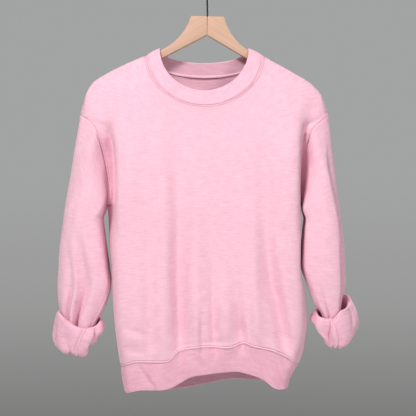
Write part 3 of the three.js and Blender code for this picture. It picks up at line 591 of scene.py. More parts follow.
# Creases that run across the cloth: at each x the drop, the half width above and below, the height
ACROSS = ["x", "drop", "above", "below", "height"]
ACROSS_CREASES = {
    "front": {
        "upper hem drag": [(-172, 560, 4, 6, 0), (-150, 565, 4, 6, -3.0), (-132, 570, 4, 6, -2.6),
                           (-104, 574, 4, 6, 0)],
        "lower hem drag": [(-174, 598, 4, 7, 0), (-154, 604, 4, 7, -3.2), (-134, 612, 4, 7, -3.4),
                           (-112, 622, 4, 6, 0)],
        "middle hem drag": [(-168, 580, 5, 6, 0), (-146, 585, 5, 6, 2.0), (-120, 591, 5, 6, 0)],
        "right hem fold": [(142, 570, 5, 7, 0), (158, 579, 5, 7, -5.0), (172, 589, 4, 6, -4.2),
                           (184, 600, 4, 6, 0)],
        "tuck shelf": [(-30, 598, 5, 7, 0), (0, 592, 5, 7, -3.6), (22, 591, 5, 7, -3.8),
                       (48, 586, 5, 7, 0)],
        "trough foot": [(-84, 622, 6, 9, 0), (-62, 604, 6, 9, -4.0), (-44, 596, 6, 8, -3.0),
                        (-26, 592, 5, 8, 0)],
        "waist swell left": [(-176, 624, 9, 9, 0), (-120, 616, 9, 9, 2.4), (-84, 615, 9, 9, 2.4),
                             (-60, 600, 9, 9, 0)],
        "waist swell right": [(76, 584, 8, 8, 0), (110, 592, 9, 9, 3.0), (150, 610, 9, 9, 2.6),
                              (176, 626, 9, 9, 0)],
        "left chest drag": [(-188, 262, 12, 16, 0), (-160, 300, 14, 16, -1.6),
                            (-120, 346, 16, 18, -1.4), (-84, 380, 14, 16, 0)],
        "right chest drag": [(92, 330, 12, 14, 0), (124, 300, 12, 15, -1.4), (160, 262, 12, 15, -1.6),
                             (186, 232, 12, 14, 0)],
        "left shoulder drag": [(-214, 96, 10, 12, 0), (-176, 122, 12, 14, -1.3),
                               (-132, 140, 12, 16, 0)],
        "right shoulder drag": [(128, 132, 12, 16, 0), (170, 116, 12, 14, -1.3), (206, 92, 10, 12, 0)],
        "collar pull": [(-34, 124, 6, 9, 0), (-8, 130, 6, 10, -1.0), (22, 126, 6, 9, 0)],
    },
    "back": {
        "yoke sag": [(-92, 118, 10, 16, 0), (-30, 128, 14, 20, -2.4), (30, 128, 14, 20, -2.4),
                     (92, 116, 10, 16, 0)],
        "second sag": [(-70, 168, 12, 18, 0), (0, 178, 14, 20, -1.6), (76, 170, 12, 18, 0)],
        "left waist drag": [(-176, 590, 5, 8, 0), (-148, 600, 5, 8, -2.4), (-118, 616, 5, 7, 0)],
        "right waist drag": [(118, 606, 5, 8, 0), (146, 592, 5, 8, -2.4), (176, 584, 5, 7, 0)],
        "left side drag": [(-190, 330, 10, 14, 0), (-160, 366, 12, 14, -2.0), (-118, 404, 12, 14, 0)],
        "right side drag": [(110, 420, 12, 14, 0), (146, 384, 12, 14, -2.0), (182, 352, 10, 12, 0)],
    },
}
# Where the chance of each panel's unevenness starts, and how high it is
LIE = {"front": (11, 0.55), "back": (29, 0.7)}


def crease_height(face, x, drop):
    """How far the creases stand out of a panel (below nothing: sink in) at each place."""
    height = np.zeros_like(x)
    for rows in DOWN_CREASES[face].values():
        way = Table(DOWN, rows)(drop)
        aside = x - way["x"]
        width = np.where(aside < 0, way["left"], way["right"])
        height += way["height"] * np.exp(-((aside / width) ** 2))
    for rows in ACROSS_CREASES[face].values():
        way = Table(ACROSS, rows)(x)
        aside = drop - way["drop"]
        width = np.where(aside < 0, way["above"], way["below"])
        height += way["height"] * np.exp(-((aside / width) ** 2))
    return height


def uneven(seed, x, drop, height, shortest=55, longest=170, waves=22, down=0.55):
    """The cloth's gentle unevenness: long low waves in no order, the same on each run."""
    chance = np.random.default_rng(seed)
    total = np.zeros_like(x)
    for _ in range(waves):
        long = chance.uniform(shortest, longest)
        way = chance.uniform(0, math.pi)
        start = chance.uniform(0, 2 * math.pi)
        total += np.sin(2 * math.pi * (x * math.cos(way) + down * drop * math.sin(way)) / long + start)
    return height * total / math.sqrt(waves)


def armhole_depth(face, side, drop):
    share = (drop - SHOULDER_END[side]) / (UNDERARM[side] - SHOULDER_END[side])
    share = np.clip(share, 0, 1)
    risen = smooth((share - DRAWN_RUN["start"]) / DRAWN_RUN["rise"])
    drawn_in = ARMHOLE_DRAWN_IN[face][side] * risen * smooth((1 - share) / DRAWN_RUN["fall"])
    return ARMHOLE_DEPTH[face][side] * 2 * np.sqrt(share * (1 - share)) - drawn_in


def section_point(face, across, drop, folded=True):
    """The place on a panel at a share across it and a drop; in millimetres."""
    across, drop = np.broadcast_arrays(np.asarray(across, float), np.asarray(drop, float))
    shape, across, drop = across.shape, across.ravel(), drop.ravel()
    rim, x = RIM(drop), FRONT_X(drop)
    outward = -1 if face == "front" else 1
    left = outward * armhole_depth(face, "left", drop)
    right = outward * armhole_depth(face, "right", drop)
    xs = np.stack([
        rim["left"], x["turn_left"], x["edge_left"], CHEST_SHARE * x["edge_left"],
        (x["edge_left"] + x["edge_right"]) / 2, CHEST_SHARE * x["edge_right"], x["edge_right"],
        x["turn_right"], rim["right"],
    ])
    if face == "front":
        y = FRONT_Y(drop)
        ys = np.stack([left, y["turn_left"], y["edge_left"], y["chest"], y["centre"], y["chest"],
                       y["edge_right"], y["turn_right"], right])
    else:
        y = BACK_Y(drop)
        ys = np.stack([left, y["turn"], y["edge"], y["chest"], y["centre"], y["chest"], y["edge"],
                       y["turn"], right])
    at_x = curve_through(SECTION_STOPS, xs, across, steady=False)
    at_y = curve_through(SECTION_STOPS, ys, across, steady=False)
    if np.any(folded):
        clear = smooth((1 - np.abs(across)) / PLAIN_RIM_SHARE)
        folds = crease_height(face, at_x, drop) + uneven(LIE[face][0], at_x, drop, LIE[face][1])
        at_y = at_y + outward * clear * folded * folds
    return np.stack([at_x, at_y, NECK_LEVEL - drop], axis=-1).reshape(*shape, 3)


def across_at(face, x, drop):
    """The share across a panel at which it meets a plane x."""
    low, high = np.full(x.shape, -1.0), np.full(x.shape, 1.0)
    for _ in range(40):
        middle = (low + high) / 2
        before = section_point(face, middle, drop, folded=False)[..., 0] < x
        low, high = np.where(before, middle, low), np.where(before, high, middle)
    return (low + high) / 2


def rim_drop(side, row):
    shoulder = mix(SHOULDER_START[side], SHOULDER_END[side], row)
    armhole = mix(SHOULDER_END[side], UNDERARM[side], (1 - np.cos(np.pi * (row - 1))) / 2)
    below = mix(UNDERARM[side], WAIST_SEAM_SIDE[side], row - 2)
    return np.where(row <= 1, shoulder, np.where(row <= 2, armhole, below))


def body_point(face, across, row, creased=1.0):
    """A panel's own grid: across from -1 to 1, row 0 neck seam, 1 shoulder end, 2 underarm, 3 waist."""
    across, row = np.broadcast_arrays(np.asarray(across, float), np.asarray(row, float))
    shape, across, row = across.shape, across.ravel(), row.ravel()
    leftward = across < 0
    pick = lambda sizes: np.where(leftward, sizes["left"], sizes["right"])
    rise = 1 - np.cos(np.abs(across) * np.pi / 2)
    shares, back = np.unique(across, return_inverse=True)
    share_rise = 1 - np.cos(np.abs(shares) * np.pi / 2)
    start = np.where(shares < 0, SHOULDER_START["left"], SHOULDER_START["right"])
    neck_x = NECK_SEAM["centre_x"] + NECK_SEAM["half_width"] * np.sin(shares * np.pi / 2)
    at_neck = across_at(face, neck_x, mix(NECK_SEAM[face], start, share_rise))
    at_neck = np.where(np.abs(shares) >= 1, shares, at_neck)[back]
    share = mix(at_neck, across, smooth(row / NECK_REACH))
    edge = np.where(leftward, rim_drop("left", row), rim_drop("right", row))
    level = mix(CENTRE_DROP(row)[face], edge, rise)
    foot = section_point(face, share, pick(WAIST_SEAM_SIDE), folded=False)
    seam = HEM[face](foot[:, 0])["seam"]
    straight = mix(pick(UNDERARM), seam, row - 2)
    lower = mix(level, straight, smooth((row - 2) / HEM_REACH))
    drop = np.where((row <= 2) | (np.abs(across) >= 1), level, lower)
    calm = 1 - WAIST_CALM["share"] * smooth((row - WAIST_CALM["from_row"]) / (3 - WAIST_CALM["from_row"]))
    point = section_point(face, share, drop, folded=creased * calm)
    tuck = 1 - WAIST_TUCK["share"] * smooth((row - WAIST_TUCK["from_row"]) / (3 - WAIST_TUCK["from_row"]))
    inside = (row > 2) & (np.abs(across) < 1)
    point[:, 1] *= np.where(inside, tuck, 1.0)
    return point.reshape(*shape, 3)


# The stops beside a sewn edge: how far they reach, how many they are, and how they crowd to it
EDGE = {"reach": 0.05, "steps": 14, "crowding": 1.3}


def close_to_ends(low, high, count, reach, steps):
    """Even stops, with a few much closer ones within reach of each end, for seams to show."""
    near = reach * (np.arange(1, steps + 1) / steps) ** EDGE["crowding"]
    return np.concatenate([[low], low + near, np.linspace(low + reach, high - reach, count)[1:-1],
                           (high - near)[::-1], [high]])


def grid_normals(points, closed=False):
    before = np.roll(points, 1, 1) if closed else points[:, np.r_[0, 0:points.shape[1] - 1]]
    after = np.roll(points, -1, 1) if closed else points[:, np.r_[1:points.shape[1], -1]]
    rows = points.shape[0]
    up, down = points[np.r_[0, 0:rows - 1]], points[np.r_[1:rows, rows - 1]]
    normal = np.cross(after - before, up - down)
    return normal / np.maximum(np.linalg.norm(normal, axis=-1, keepdims=True), 1e-9)


def walk(points, axis):
    """How far along the cloth each place of a grid lies from the start of its row or column."""
    steps = np.linalg.norm(np.diff(points, axis=axis), axis=-1)
    pad = [(0, 0), (0, 0)]
    pad[axis] = (1, 0)
    return np.cumsum(np.pad(steps, pad), axis=axis)


def from_ends(points, axis):
    """How far along the cloth each place lies from the start and from the end of its line."""
    start = walk(points, axis)
    whole = start[-1:] if axis == 0 else start[:, -1:]
    return start, whole - start


# A sewn edge: a groove at the seam, the flat swell of the seam allowance beside it, and the furrow
# that the second of its two needle lines presses into the cloth
SEAM = {"groove": 1.3, "groove_width": 1.5, "swell": 0.6, "swell_width": 7.5, "swell_edge": 2.2,
        "needle_line": 5.0, "furrow": 1.5, "furrow_width": 1.2}


def seam_relief(distance):
    groove = -SEAM["groove"] * np.exp(-((distance / SEAM["groove_width"]) ** 2))
    swell = SEAM["swell"] * smooth((SEAM["swell_width"] - distance) / SEAM["swell_edge"] + 0.5)
    return groove + swell


def needle_furrow(distance):
    return -SEAM["furrow"] * np.exp(-(((distance - SEAM["needle_line"]) / SEAM["furrow_width"]) ** 2))


def draw_back(points, closed, ends=(True, True)):
    """Moves the rims of a grid inwards by half the gap that a seam leaves."""
    moved = points.copy()
    pairs = [(np.s_[0], np.s_[1], ends[0]), (np.s_[-1], np.s_[-2], ends[1])]
    if not closed:
        pairs += [(np.s_[:, 0], np.s_[:, 1], True), (np.s_[:, -1], np.s_[:, -2], True)]
    for rim, inside, wanted in pairs:
        if wanted:
            way = points[inside] - points[rim]
            length = np.maximum(np.linalg.norm(way, axis=-1, keepdims=True), 1e-9)
            moved[rim] += way / length * SEAM_GAP / 2
    return moved


def cloth_grid(name, points, closed, map_spots):
    """A piece of cloth as a flat grid whose vertices are set to the places, outside outwards."""
    if closed:
        points = np.concatenate([points, points[:, :1]], axis=1)
    rows, columns = points.shape[:2]
    bpy.ops.object.select_all(action="DESELECT")
    bpy.ops.mesh.primitive_grid_add(x_subdivisions=columns - 1, y_subdivisions=rows - 1, size=1.0)
    piece = bpy.context.object
    piece.name = name
    piece.data.vertices.foreach_set("co", (points[::-1] * MM).ravel())
    lay_map(piece, (map_spots[::-1] * MM).reshape(-1, 2))
    if closed:
        bpy.ops.object.mode_set(mode="EDIT")
        bpy.ops.mesh.select_all(action="SELECT")
        bpy.ops.mesh.remove_doubles(threshold=0.000001)
        bpy.ops.object.mode_set(mode="OBJECT")
    piece.data.update()
    return piece


def map_of(points, closed, middle=0):
    """The cloth's own map in millimetres: along its courses and down its wales."""
    if closed:
        points = np.concatenate([points, points[:, :1]], axis=1)
    along = walk(points, 1)
    along = along - along[:, middle:middle + 1]
    down = np.repeat(walk(points, 0).mean(axis=1, keepdims=True), points.shape[1], axis=1)
    return np.stack([along, -down], axis=-1)


def give_wall(piece, thickness):
    """The cloth's thickness, on the wrong side of it, where it shows its brushed inside."""
    bpy.ops.object.select_all(action="DESELECT")
    bpy.context.view_layer.objects.active = piece
    piece.select_set(True)
    wall = piece.modifiers.new("cloth_wall", "SOLIDIFY")
    wall.thickness = thickness * MM
    wall.offset = -1
    wall.use_rim = True
    wall.material_offset = 1
    bpy.ops.object.modifier_apply(modifier=wall.name)
    bpy.ops.object.shade_smooth_by_angle(angle=math.radians(55))


# Paler and deeper strands of the fleece, on its knitted side and on its brushed side
PINK = {
    "pale": (0.965, 0.605, 0.71, 1), "deep": (0.83, 0.455, 0.565, 1),
    "brushed_pale": (0.88, 0.525, 0.63, 1), "brushed_deep": (0.72, 0.37, 0.475, 1),
}
KNIT = {"course": 1.25, "wale": 0.95}


def fleece_material(name, shade, light, brushed):
    """Sweatshirt fleece: fine knitted columns outside, or the fluffy brushed inside."""
    material, tree, shader = new_material(
        name, Roughness=0.92, Specular_IOR_Level=0.18, Sheen_Weight=0.35, Sheen_Roughness=0.45,
        Sheen_Tint=(1.0, 0.86, 0.90, 1.0),
    )
    own = make(tree, "ShaderNodeUVMap")
    streaky = make(tree, "ShaderNodeMapping", {}, {"Vector": own, "Scale": (42.0, 400.0, 1.0)})
    fine = make(tree, "ShaderNodeMapping", {}, {"Vector": own, "Scale": (240.0, 900.0, 1.0)})
    streaks = noise(tree, streaky, 1.0, 3.0, 0.6)
    strands = noise(tree, fine, 1.0, 2.0, 0.6)
    clouds = noise(tree, own, 60.0, 4.0, 0.65)
    tone = streaks * 0.45 + strands * 0.3 + clouds * 0.25
    colour = between(tree, (tone - 0.5) * 3.8 + 0.46, shade, light)
    tree.links.new(colour.socket, shader.inputs["Base Color"])
    if brushed:
        fluff = noise(tree, own, 520.0, 5.0, 0.75)
        tufts = noise(tree, own, 140.0, 3.0, 0.6)
        bumps(tree, shader, fluff * 0.6 + tufts * 0.8, 0.0007)
    else:
        split = make(tree, "ShaderNodeSeparateXYZ", {}, {"Vector": own})
        down = make(tree, "ShaderNodeSeparateXYZ", {}, {"Vector": own}, out=1)
        wale = (split * (2 * math.pi / (KNIT["wale"] * MM))).sine()
        leg = down * (2 * math.pi / (KNIT["course"] * MM)) + wale * 1.6
        loops = leg.sine()
        relief = bumps(tree, shader, wale * 0.5 + loops * 0.5, 0.00012)
        bumps(tree, shader, noise(tree, own, 420.0, 4.0, 0.7) + streaks * 0.8, 0.0003, relief)
    return material


fleece_outside = fleece_material("fleece_knit_side", PINK["deep"], PINK["pale"], brushed=False)
fleece_inside = fleece_material(
    "fleece_brushed_side", PINK["brushed_deep"], PINK["brushed_pale"], brushed=True
)

PANEL_STOPS = {"down": 146, "half_across": 84}
PANEL_ROWS = close_to_ends(0.0, 3.0, PANEL_STOPS["down"], EDGE["reach"], EDGE["steps"])
edge_share = np.arange(EDGE["steps"], 0, -1) / EDGE["steps"]
half_across = np.concatenate([
    np.linspace(0, 1 - EDGE["reach"], PANEL_STOPS["half_across"])[:-1],
    1 - EDGE["reach"] * edge_share ** EDGE["crowding"], [1.0],
])
PANEL_ACROSS = np.concatenate([-half_across[:0:-1], half_across])
panel_grids = {}
for face in ("front", "back"):
    plain = body_point(face, PANEL_ACROSS[None, :], PANEL_ROWS[:, None])
    if face == "back":
        plain = plain[:, ::-1]
    from_neck, from_waist = from_ends(plain, 0)
    from_start, from_end = from_ends(plain, 1)
    from_side = np.minimum(from_start, from_end)
    near = np.minimum(np.minimum(from_neck, from_waist), from_side)
    at_armhole = (PANEL_ROWS >= 1) & (PANEL_ROWS <= 2)
    lines = np.minimum(np.minimum(from_neck, from_waist), np.where(at_armhole[:, None], from_side, 1e3))
    relief = seam_relief(near) + needle_furrow(lines)
    sewn = plain + grid_normals(plain) * relief[..., None]
    panel_grids[face] = (sewn, from_neck, from_waist, from_start, from_end)
    points = draw_back(sewn, closed=False)
    panel = cloth_grid(
        f"{face}_panel", points, False, map_of(plain, False, middle=plain.shape[1] // 2)
    )
    panel.data.materials.append(fleece_outside)
    panel.data.materials.append(fleece_inside)
    give_wall(panel, FLEECE)
    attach(panel, "root")
    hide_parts(face)


# Sleeves
# Two set-in sleeves of the same fleece, each one cut piece sewn into a tube, with long soft folds
# below the elbow. Each end is rolled up twice, so that the brushed inside shows on the roll.
RING = ["outer", "inner", "front", "back", "drop_outer", "drop_front", "drop_inner", "drop_back"]
SLEEVE_RINGS = {
    "left": {
        "tube": [
            (-292.5, -213, -62, 58, 345, 345, 345, 345), (-297, -209.5, -61, 57, 376, 376, 376, 376),
            (-301, -204.5, -60, 56, 410, 410, 410, 410), (-303, -200, -58, 54, 443, 443, 443, 443),
            (-305, -196.5, -56, 51, 476, 476, 476, 476), (-304.5, -202, -53, 48, 505, 505, 505, 505),
            (-301, -211, -49, 46, 528, 530, 528, 528), (-294.5, -223, -45, 43, 550, 556, 550, 550),
            (-293, -229, -41, 40, 578, 584, 574, 578), (-294, -234, -38, 38, 602, 610, 594, 602),
        ],
        "roll": [
            (-308, -224.5, -50, 48, 599, 604, 591, 598), (-313.5, -214.5, -54, 53, 585, 591, 578, 582),
            (-310, -212.5, -56, 55, 562, 580, 566, 566), (-304, -215.5, -55, 54, 546, 571, 556, 552),
        ],
    },
    "right": {
        "tube": [
            (272, 196, -60, 58, 345, 345, 345, 345), (276, 193.5, -59, 57, 376, 376, 376, 376),
            (278.5, 191, -58, 56, 410, 410, 410, 410), (280.5, 190.5, -56, 54, 440, 440, 440, 440),
            (281, 199, -54, 51, 470, 470, 470, 470), (280, 208, -51, 49, 490, 492, 492, 490),
            (275, 217, -48, 46, 508, 516, 514, 508), (272, 228, -45, 43, 530, 540, 532, 530),
            (273, 234.5, -42, 41, 556, 564, 550, 556), (278, 239, -39, 38, 588, 592, 569, 584),
        ],
        "roll": [
            (293, 229, -49, 48, 588, 594, 564, 582), (302, 217, -53, 52, 560, 579, 556, 562),
            (299.5, 214.5, -55, 54, 530, 566, 546, 542), (290, 220, -54, 53, 507, 554, 534, 526),
        ],
    },
}
BOTTOM_TURN = 4.5
BOTTOM_DROOP = 2.0
TOP_TURN = 2.2
TURN_STEPS = [45, 90, 135]
SQUARENESS = 2.25
FLAT_FRONT = 5.5
UPPER_RINGS = 5
CAP_BULGE = 9.0
# how much sooner than evenly the upper arm fills out front to back below its seam
CAP_FULLNESS = 3.6
CAP_PLAIN_SHARE = 0.6
HIDDEN_LAYER = 10.0
# How much of a rolled end's top edge, swell and lower fold each of its rings takes, from below up
ROLL_SHARES = [(0.0, 0.5, 0.9), (0.15, 1.0, 0.4), (0.55, 0.7, 0.1), (1.0, 0.1, 0.0)]

# Folds down the sleeve: at each drop the angle round it (0 outer side, 90 front, 180 body side),
# the half width in degrees before and behind, and the height
ROUND = ["drop", "angle", "before", "behind", "height"]
SLEEVE_FOLDS = {
    "left": {
        "outer trough": [(370, 54, 14, 11, 0), (430, 62, 13, 10, -4), (480, 66, 12, 9, -8),
                         (540, 56, 10, 7, -12), (575, 52, 9, 7, -11), (612, 52, 9, 8, -6)],
        "outer ridge": [(440, 78, 10, 8, 0), (500, 76, 8, 7, 3), (560, 68, 7, 7, 4), (600, 66, 7, 7, 0)],
        "front trough": [(350, 80, 14, 10, 0), (420, 92, 14, 8, -7), (480, 98, 13, 7, -13),
                         (520, 92, 11, 6, -18), (558, 84, 8, 5, -20), (600, 82, 8, 5, -8)],
        "front ridge": [(380, 114, 14, 18, 0), (470, 116, 10, 20, 3), (540, 108, 9, 22, 4),
                        (600, 108, 12, 20, 1)],
        "upper arm fold": [(190, 54, 15, 14, 0), (260, 58, 15, 13, -1.6), (340, 62, 14, 13, -2),
                           (420, 60, 14, 12, 0)],
        "upper arm swell": [(200, 88, 16, 18, 0), (280, 92, 16, 18, 1.5), (380, 96, 16, 18, 2),
                            (460, 98, 16, 18, 0)],
        "back trough": [(300, 250, 17, 17, 0), (420, 256, 16, 16, -7), (560, 262, 12, 12, -10),
                        (612, 262, 12, 12, -5)],
        "elbow back fold": [(380, 300, 15, 15, 0), (450, 306, 13, 13, -5), (540, 312, 11, 11, -7),
                            (612, 314, 12, 12, -2)],
        "inner back ridge": [(280, 216, 18, 18, 0), (400, 214, 17, 17, 3.5), (520, 212, 15, 15, 3),
                             (600, 210, 14, 14, 0)],
    },
    "right": {
        "outer step": [(150, 28, 14, 9, 0), (240, 34, 15, 7, -8), (360, 38, 15, 6, -12),
                       (480, 42, 14, 5, -14), (560, 46, 12, 6, -9)],
        "outer lip": [(180, 48, 8, 12, 0), (260, 52, 7, 14, 3), (400, 56, 7, 14, 3.5), (520, 60, 7, 14, 3),
                      (580, 62, 8, 12, 0)],
        "front ridge": [(260, 84, 26, 26, 0), (380, 84, 26, 28, 4), (500, 84, 24, 26, 3.5),
                        (580, 84, 22, 22, 0)],
        "gap lip": [(165, 146, 18, 8, 0), (205, 148, 18, 7, 6), (290, 150, 18, 7, 8), (350, 152, 18, 8, 4),
                    (420, 150, 18, 10, 0)],
        "gap trough": [(165, 170, 9, 14, 0), (210, 172, 9, 14, -11), (300, 172, 9, 14, -12),
                       (360, 172, 10, 14, 0)],
        "roll side fold": [(470, 116, 9, 9, 0), (520, 112, 8, 8, -5), (556, 109, 7, 7, -8),
                           (590, 108, 8, 8, -4)],
        "back trough": [(300, 262, 17, 17, 0), (420, 256, 16, 16, -7), (540, 250, 12, 12, -10),
                        (600, 248, 12, 12, -5)],
        "elbow back fold": [(360, 308, 15, 15, 0), (440, 304, 13, 13, -5), (530, 300, 11, 11, -7),
                            (590, 300, 12, 12, -2)],
        "inner back ridge": [(260, 214, 18, 18, 0), (380, 214, 17, 17, 3.5), (500, 216, 15, 15, 3),
                             (570, 216, 14, 14, 0)],
    },
}
# The seam that closes each sleeve, twisted towards the front below the elbow: drop and angle. On
# the roll it is a raised ridge, because the wrong side of the seam lies outside there
SLEEVE_SEAM = {
    "left": [(340, 186), (430, 182), (474, 170), (504, 152), (538, 145), (560, 136), (600, 122)],
    "right": [(340, 178), (430, 176), (468, 168), (490, 166), (525, 167), (590, 160)],
}
SEAM_STEP = {
    "mm_per_degree": 0.8, "groove": 1.3, "groove_width": 1.6,
    "swell": 1.0, "swell_width": 9.0, "rise": 2.0, "fall": 2.5,
}
# How the edges of each rolled end run: angle round it, how far its top edge lies out and down from
# a plain ring, how far its middle swells, and how far its lower fold lies out and down
ROLL_RUN = ["angle", "top_out", "top_down", "swell", "low_out", "low_down"]
ROLL_RUNS = {
    "left": [
        (0, 1, -8, -2, -1, -5), (18, 2, -12, -1, 1, -4), (38, 2.5, -15, -1, 2, -2),
        (54, 2, -14, -3, 2, -1), (68, 1, -12, -2, 1, -2), (75, 1, -10, -1, 0, -6), (83, 1, -8, 0, 1, -1),
        (95, 1, -5, 1, 1, 1), (108, 1, -3, 2, 1.5, 6), (119, 1, -2, 2.5, 2, 5), (127, 1, -2, 2, 1, 2),
        (133, 0.5, -1, -2, -2, -9), (139, 0, 0, -3.5, -4, -14), (150, 1, 0, -1, 0, -11),
        (170, 2, -1, 1, 1, -12), (192, 1, -1, -2, 0, -6), (218, 0, -1, 2, 1, 1),
        (246, 0, 2, -2, -1, -3), (276, 1, -1, 1.5, 1, 3), (306, 0, -3, -2.5, -1, -2),
        (334, 1, -8, 1, 0, -5),
    ],
    "right": [
        (0, 1, 4, 1, 0, -6), (20, 1, 5, 2, -1, -12), (36, 1, 1, 1, 0, -10), (58, 2, -9, 3, 2, -1),
        (74, 2.5, -15, 3, 2, 3), (88, 2.5, -10, 2.5, 1, 3), (97, 2, -5, 3, 1, 3), (106, 0, -8, -1, 0, 4),
        (114, 0, -5, -3, 1, 10), (126, 1, -4, 0, 2, 12), (140, 3, -2, 3, 2, 6), (152, 4, 1, 2, 1, 0),
        (166, 4, 3, 2, 0, -6), (182, 3, 4, 2, 0, -5), (204, 0, 4, -2, -1, 0), (230, 1, -2, 2, 1, 4),
        (258, 0, -5, -2, -1, -2), (288, 1, -6, 2, 1, 3), (316, 0, -4, -2, -1, -4), (340, 1, 1, 1, 0, -3),
    ],
}
# Folds on the outside of the rolled ends, by drop, as on the tube
ROLL_FOLDS = {
    "left": {
        "facet valley": [(545, 150, 6, 7, -1.5), (566, 142, 5, 6, -3.5), (590, 134, 5, 5, -5),
                         (606, 128, 5, 5, -4)],
        "beside the seam": [(554, 106, 3, 3, -1), (575, 99, 3, 3, -2.2), (600, 93, 3, 3, -2.2),
                            (618, 90, 3, 3, -1.6)],
        "corner crease": [(535, 26, 6, 8, 0), (560, 30, 6, 8, -2), (590, 36, 6, 8, -2.5),
                          (612, 40, 6, 8, 0)],
    },
    "right": {
        "cross fold": [(545, 100, 5, 6, -1), (560, 102, 5, 6, -5), (574, 109, 5, 6, -6.5),
                       (588, 124, 6, 7, -6)],
        "lobe fold": [(518, 170, 5, 5, -2), (530, 168, 5, 5, -3.5), (546, 164, 6, 6, -1)],
        "beside the seam": [(540, 104, 3, 3, -1), (552, 96, 3, 3, -2), (576, 91, 3, 3, -2.2),
                            (604, 89, 3, 3, -1.6)],
        "outer crease": [(520, 34, 7, 8, 0), (548, 44, 7, 8, -2.4), (580, 56, 7, 8, 0)],
    },
}
# Slack folds of the rolled ends: angle round, share down the roll from its top (0 to 1), half
# width in degrees, half length as a share, and height. They die out towards both of its edges
DENT_EDGES = {"top": 0.16, "low": 0.10, "left_at_low": 0.25}
ROLL_DENTS = {
    "left": [
        (26, 0.6, 12, 0.3, 1.6), (70, 0.40, 14, 0.13, -2.6), (60, 0.72, 15, 0.2, 2.0),
        (108, 0.62, 8, 0.3, 1.6), (122, 0.85, 7, 0.2, 1.8), (156, 0.45, 10, 0.4, 1.6),
        (200, 0.5, 16, 0.5, -2.5), (236, 0.4, 15, 0.4, 2.4), (268, 0.6, 14, 0.5, -3.0),
        (305, 0.4, 16, 0.4, 2.2), (338, 0.6, 14, 0.4, -2.2),
    ],
    "right": [
        (22, 0.5, 18, 0.4, 2.0), (58, 0.45, 16, 0.35, -1.8), (96, 0.3, 12, 0.3, 1.4),
        (118, 0.62, 7, 0.3, -3.8), (134, 0.4, 12, 0.3, 2.2), (160, 0.5, 14, 0.5, -2.2),
        (205, 0.5, 16, 0.5, 2.4), (240, 0.4, 15, 0.4, -2.8), (276, 0.6, 16, 0.5, 2.0),
        (312, 0.45, 15, 0.4, -2.6), (344, 0.5, 12, 0.3, 1.6),
    ],
}


def ring_point(sizes, angle):
    size = dict(zip(RING, sizes))
    c, s = np.cos(angle), np.sin(angle)
    bend = lambda value: np.sign(value) * np.abs(value) ** (2 / SQUARENESS)
    aside, forth = bend(c), bend(s)
    flat = (1 - np.abs(aside) ** FLAT_FRONT) ** (1 / FLAT_FRONT)
    forth = np.where((s > 0) & (c < 0), flat, forth)
    x = (size["outer"] + size["inner"]) / 2 + (size["outer"] - size["inner"]) / 2 * aside
    y = np.where(s > 0, size["front"], -size["back"]) * forth
    drops = [size[name] for name in RING[4:]]
    lean = (size["drop_outer"] - size["drop_inner"]) / 2
    nod = (size["drop_front"] - size["drop_back"]) / 2
    sway = (size["drop_outer"] + size["drop_inner"] - size["drop_front"] - size["drop_back"]) / 4
    drop = np.mean(drops) + lean * c + nod * s + sway * np.cos(2 * angle)
    return np.stack([x, y, NECK_LEVEL - drop], axis=-1)


def roll_run(side, angle):
    """The run of a rolled end's edges at each angle, the same after a full turn."""
    rows = np.array(ROLL_RUNS[side], float)
    turn = np.array([360] + [0] * (rows.shape[1] - 1))
    return Table(ROLL_RUN, np.vstack([rows[-2:] - turn, rows, rows[:2] + turn]))(np.degrees(angle) % 360)


def out_of_sleeve(side, angle):
    sign = -1 if side == "left" else 1
    return np.stack([sign * np.cos(angle), -np.sin(angle), np.zeros_like(angle)], axis=-1)


def armhole_loop(side, angle):
    """The armhole seam: down the front from the shoulder end to the underarm and up the back."""
    across = -1.0 if side == "left" else 1.0
    turn = angle / np.pi
    row = np.where(turn <= 1, 1 + turn, 3 - turn)
    front = body_point("front", np.full(angle.shape, across), row)
    back = body_point("back", np.full(angle.shape, across), row)
    return np.where((turn <= 1)[:, None], front, back)


def sleeve_rings(side, angle):
    """The main rings of a sleeve from the armhole to the hidden end, without its folds."""
    tube, roll = SLEEVE_RINGS[side]["tube"], SLEEVE_RINGS[side]["roll"]
    out = out_of_sleeve(side, angle)
    loop, target = armhole_loop(side, angle), ring_point(tube[0], angle)
    rings = [loop]
    for k in range(1, UPPER_RINGS):
        t = k / UPPER_RINGS
        bulge = CAP_BULGE * 4 * t * (1 - t) * np.sin(angle) ** 2
        ring = mix(loop, target, t) + out * bulge[:, None]
        ring[:, 1] = mix(loop[:, 1], target[:, 1], 1 - (1 - t) ** CAP_FULLNESS)
        rings.append(ring)
    run = roll_run(side, angle)

    def run_off(point, top, middle, low):
        moved = point + out * (
            top * run["top_out"] + middle * run["swell"] + low * run["low_out"]
        )[:, None]
        moved[:, 2] -= top * run["top_down"] + low * run["low_down"]
        return moved

    rings += [ring_point(sizes, angle) for sizes in tube]
    rings[-2] = run_off(rings[-2], 0, 0, 0.4)
    rings[-1] = run_off(rings[-1], 0, 0, 1)
    lowest = rings[-1]
    for degrees in TURN_STEPS:
        a = math.radians(degrees)
        point = lowest + out * BOTTOM_TURN * (1 - math.cos(a))
        point[:, 2] -= (BOTTOM_TURN + BOTTOM_DROOP) * math.sin(a)
        rings.append(point)
    for sizes, (top, middle, low) in zip(roll, ROLL_SHARES):
        rings.append(run_off(ring_point(sizes, angle), top, middle, low))
    highest = rings[-1]
    for degrees in TURN_STEPS:
        a = math.radians(degrees)
        point = highest - out * TOP_TURN * (1 - math.cos(a))
        point[:, 2] += TOP_TURN * math.sin(a)
        rings.append(point)
    point = highest - out * 2 * TOP_TURN
    point[:, 2] -= HIDDEN_LAYER
    rings.append(point)
    return rings


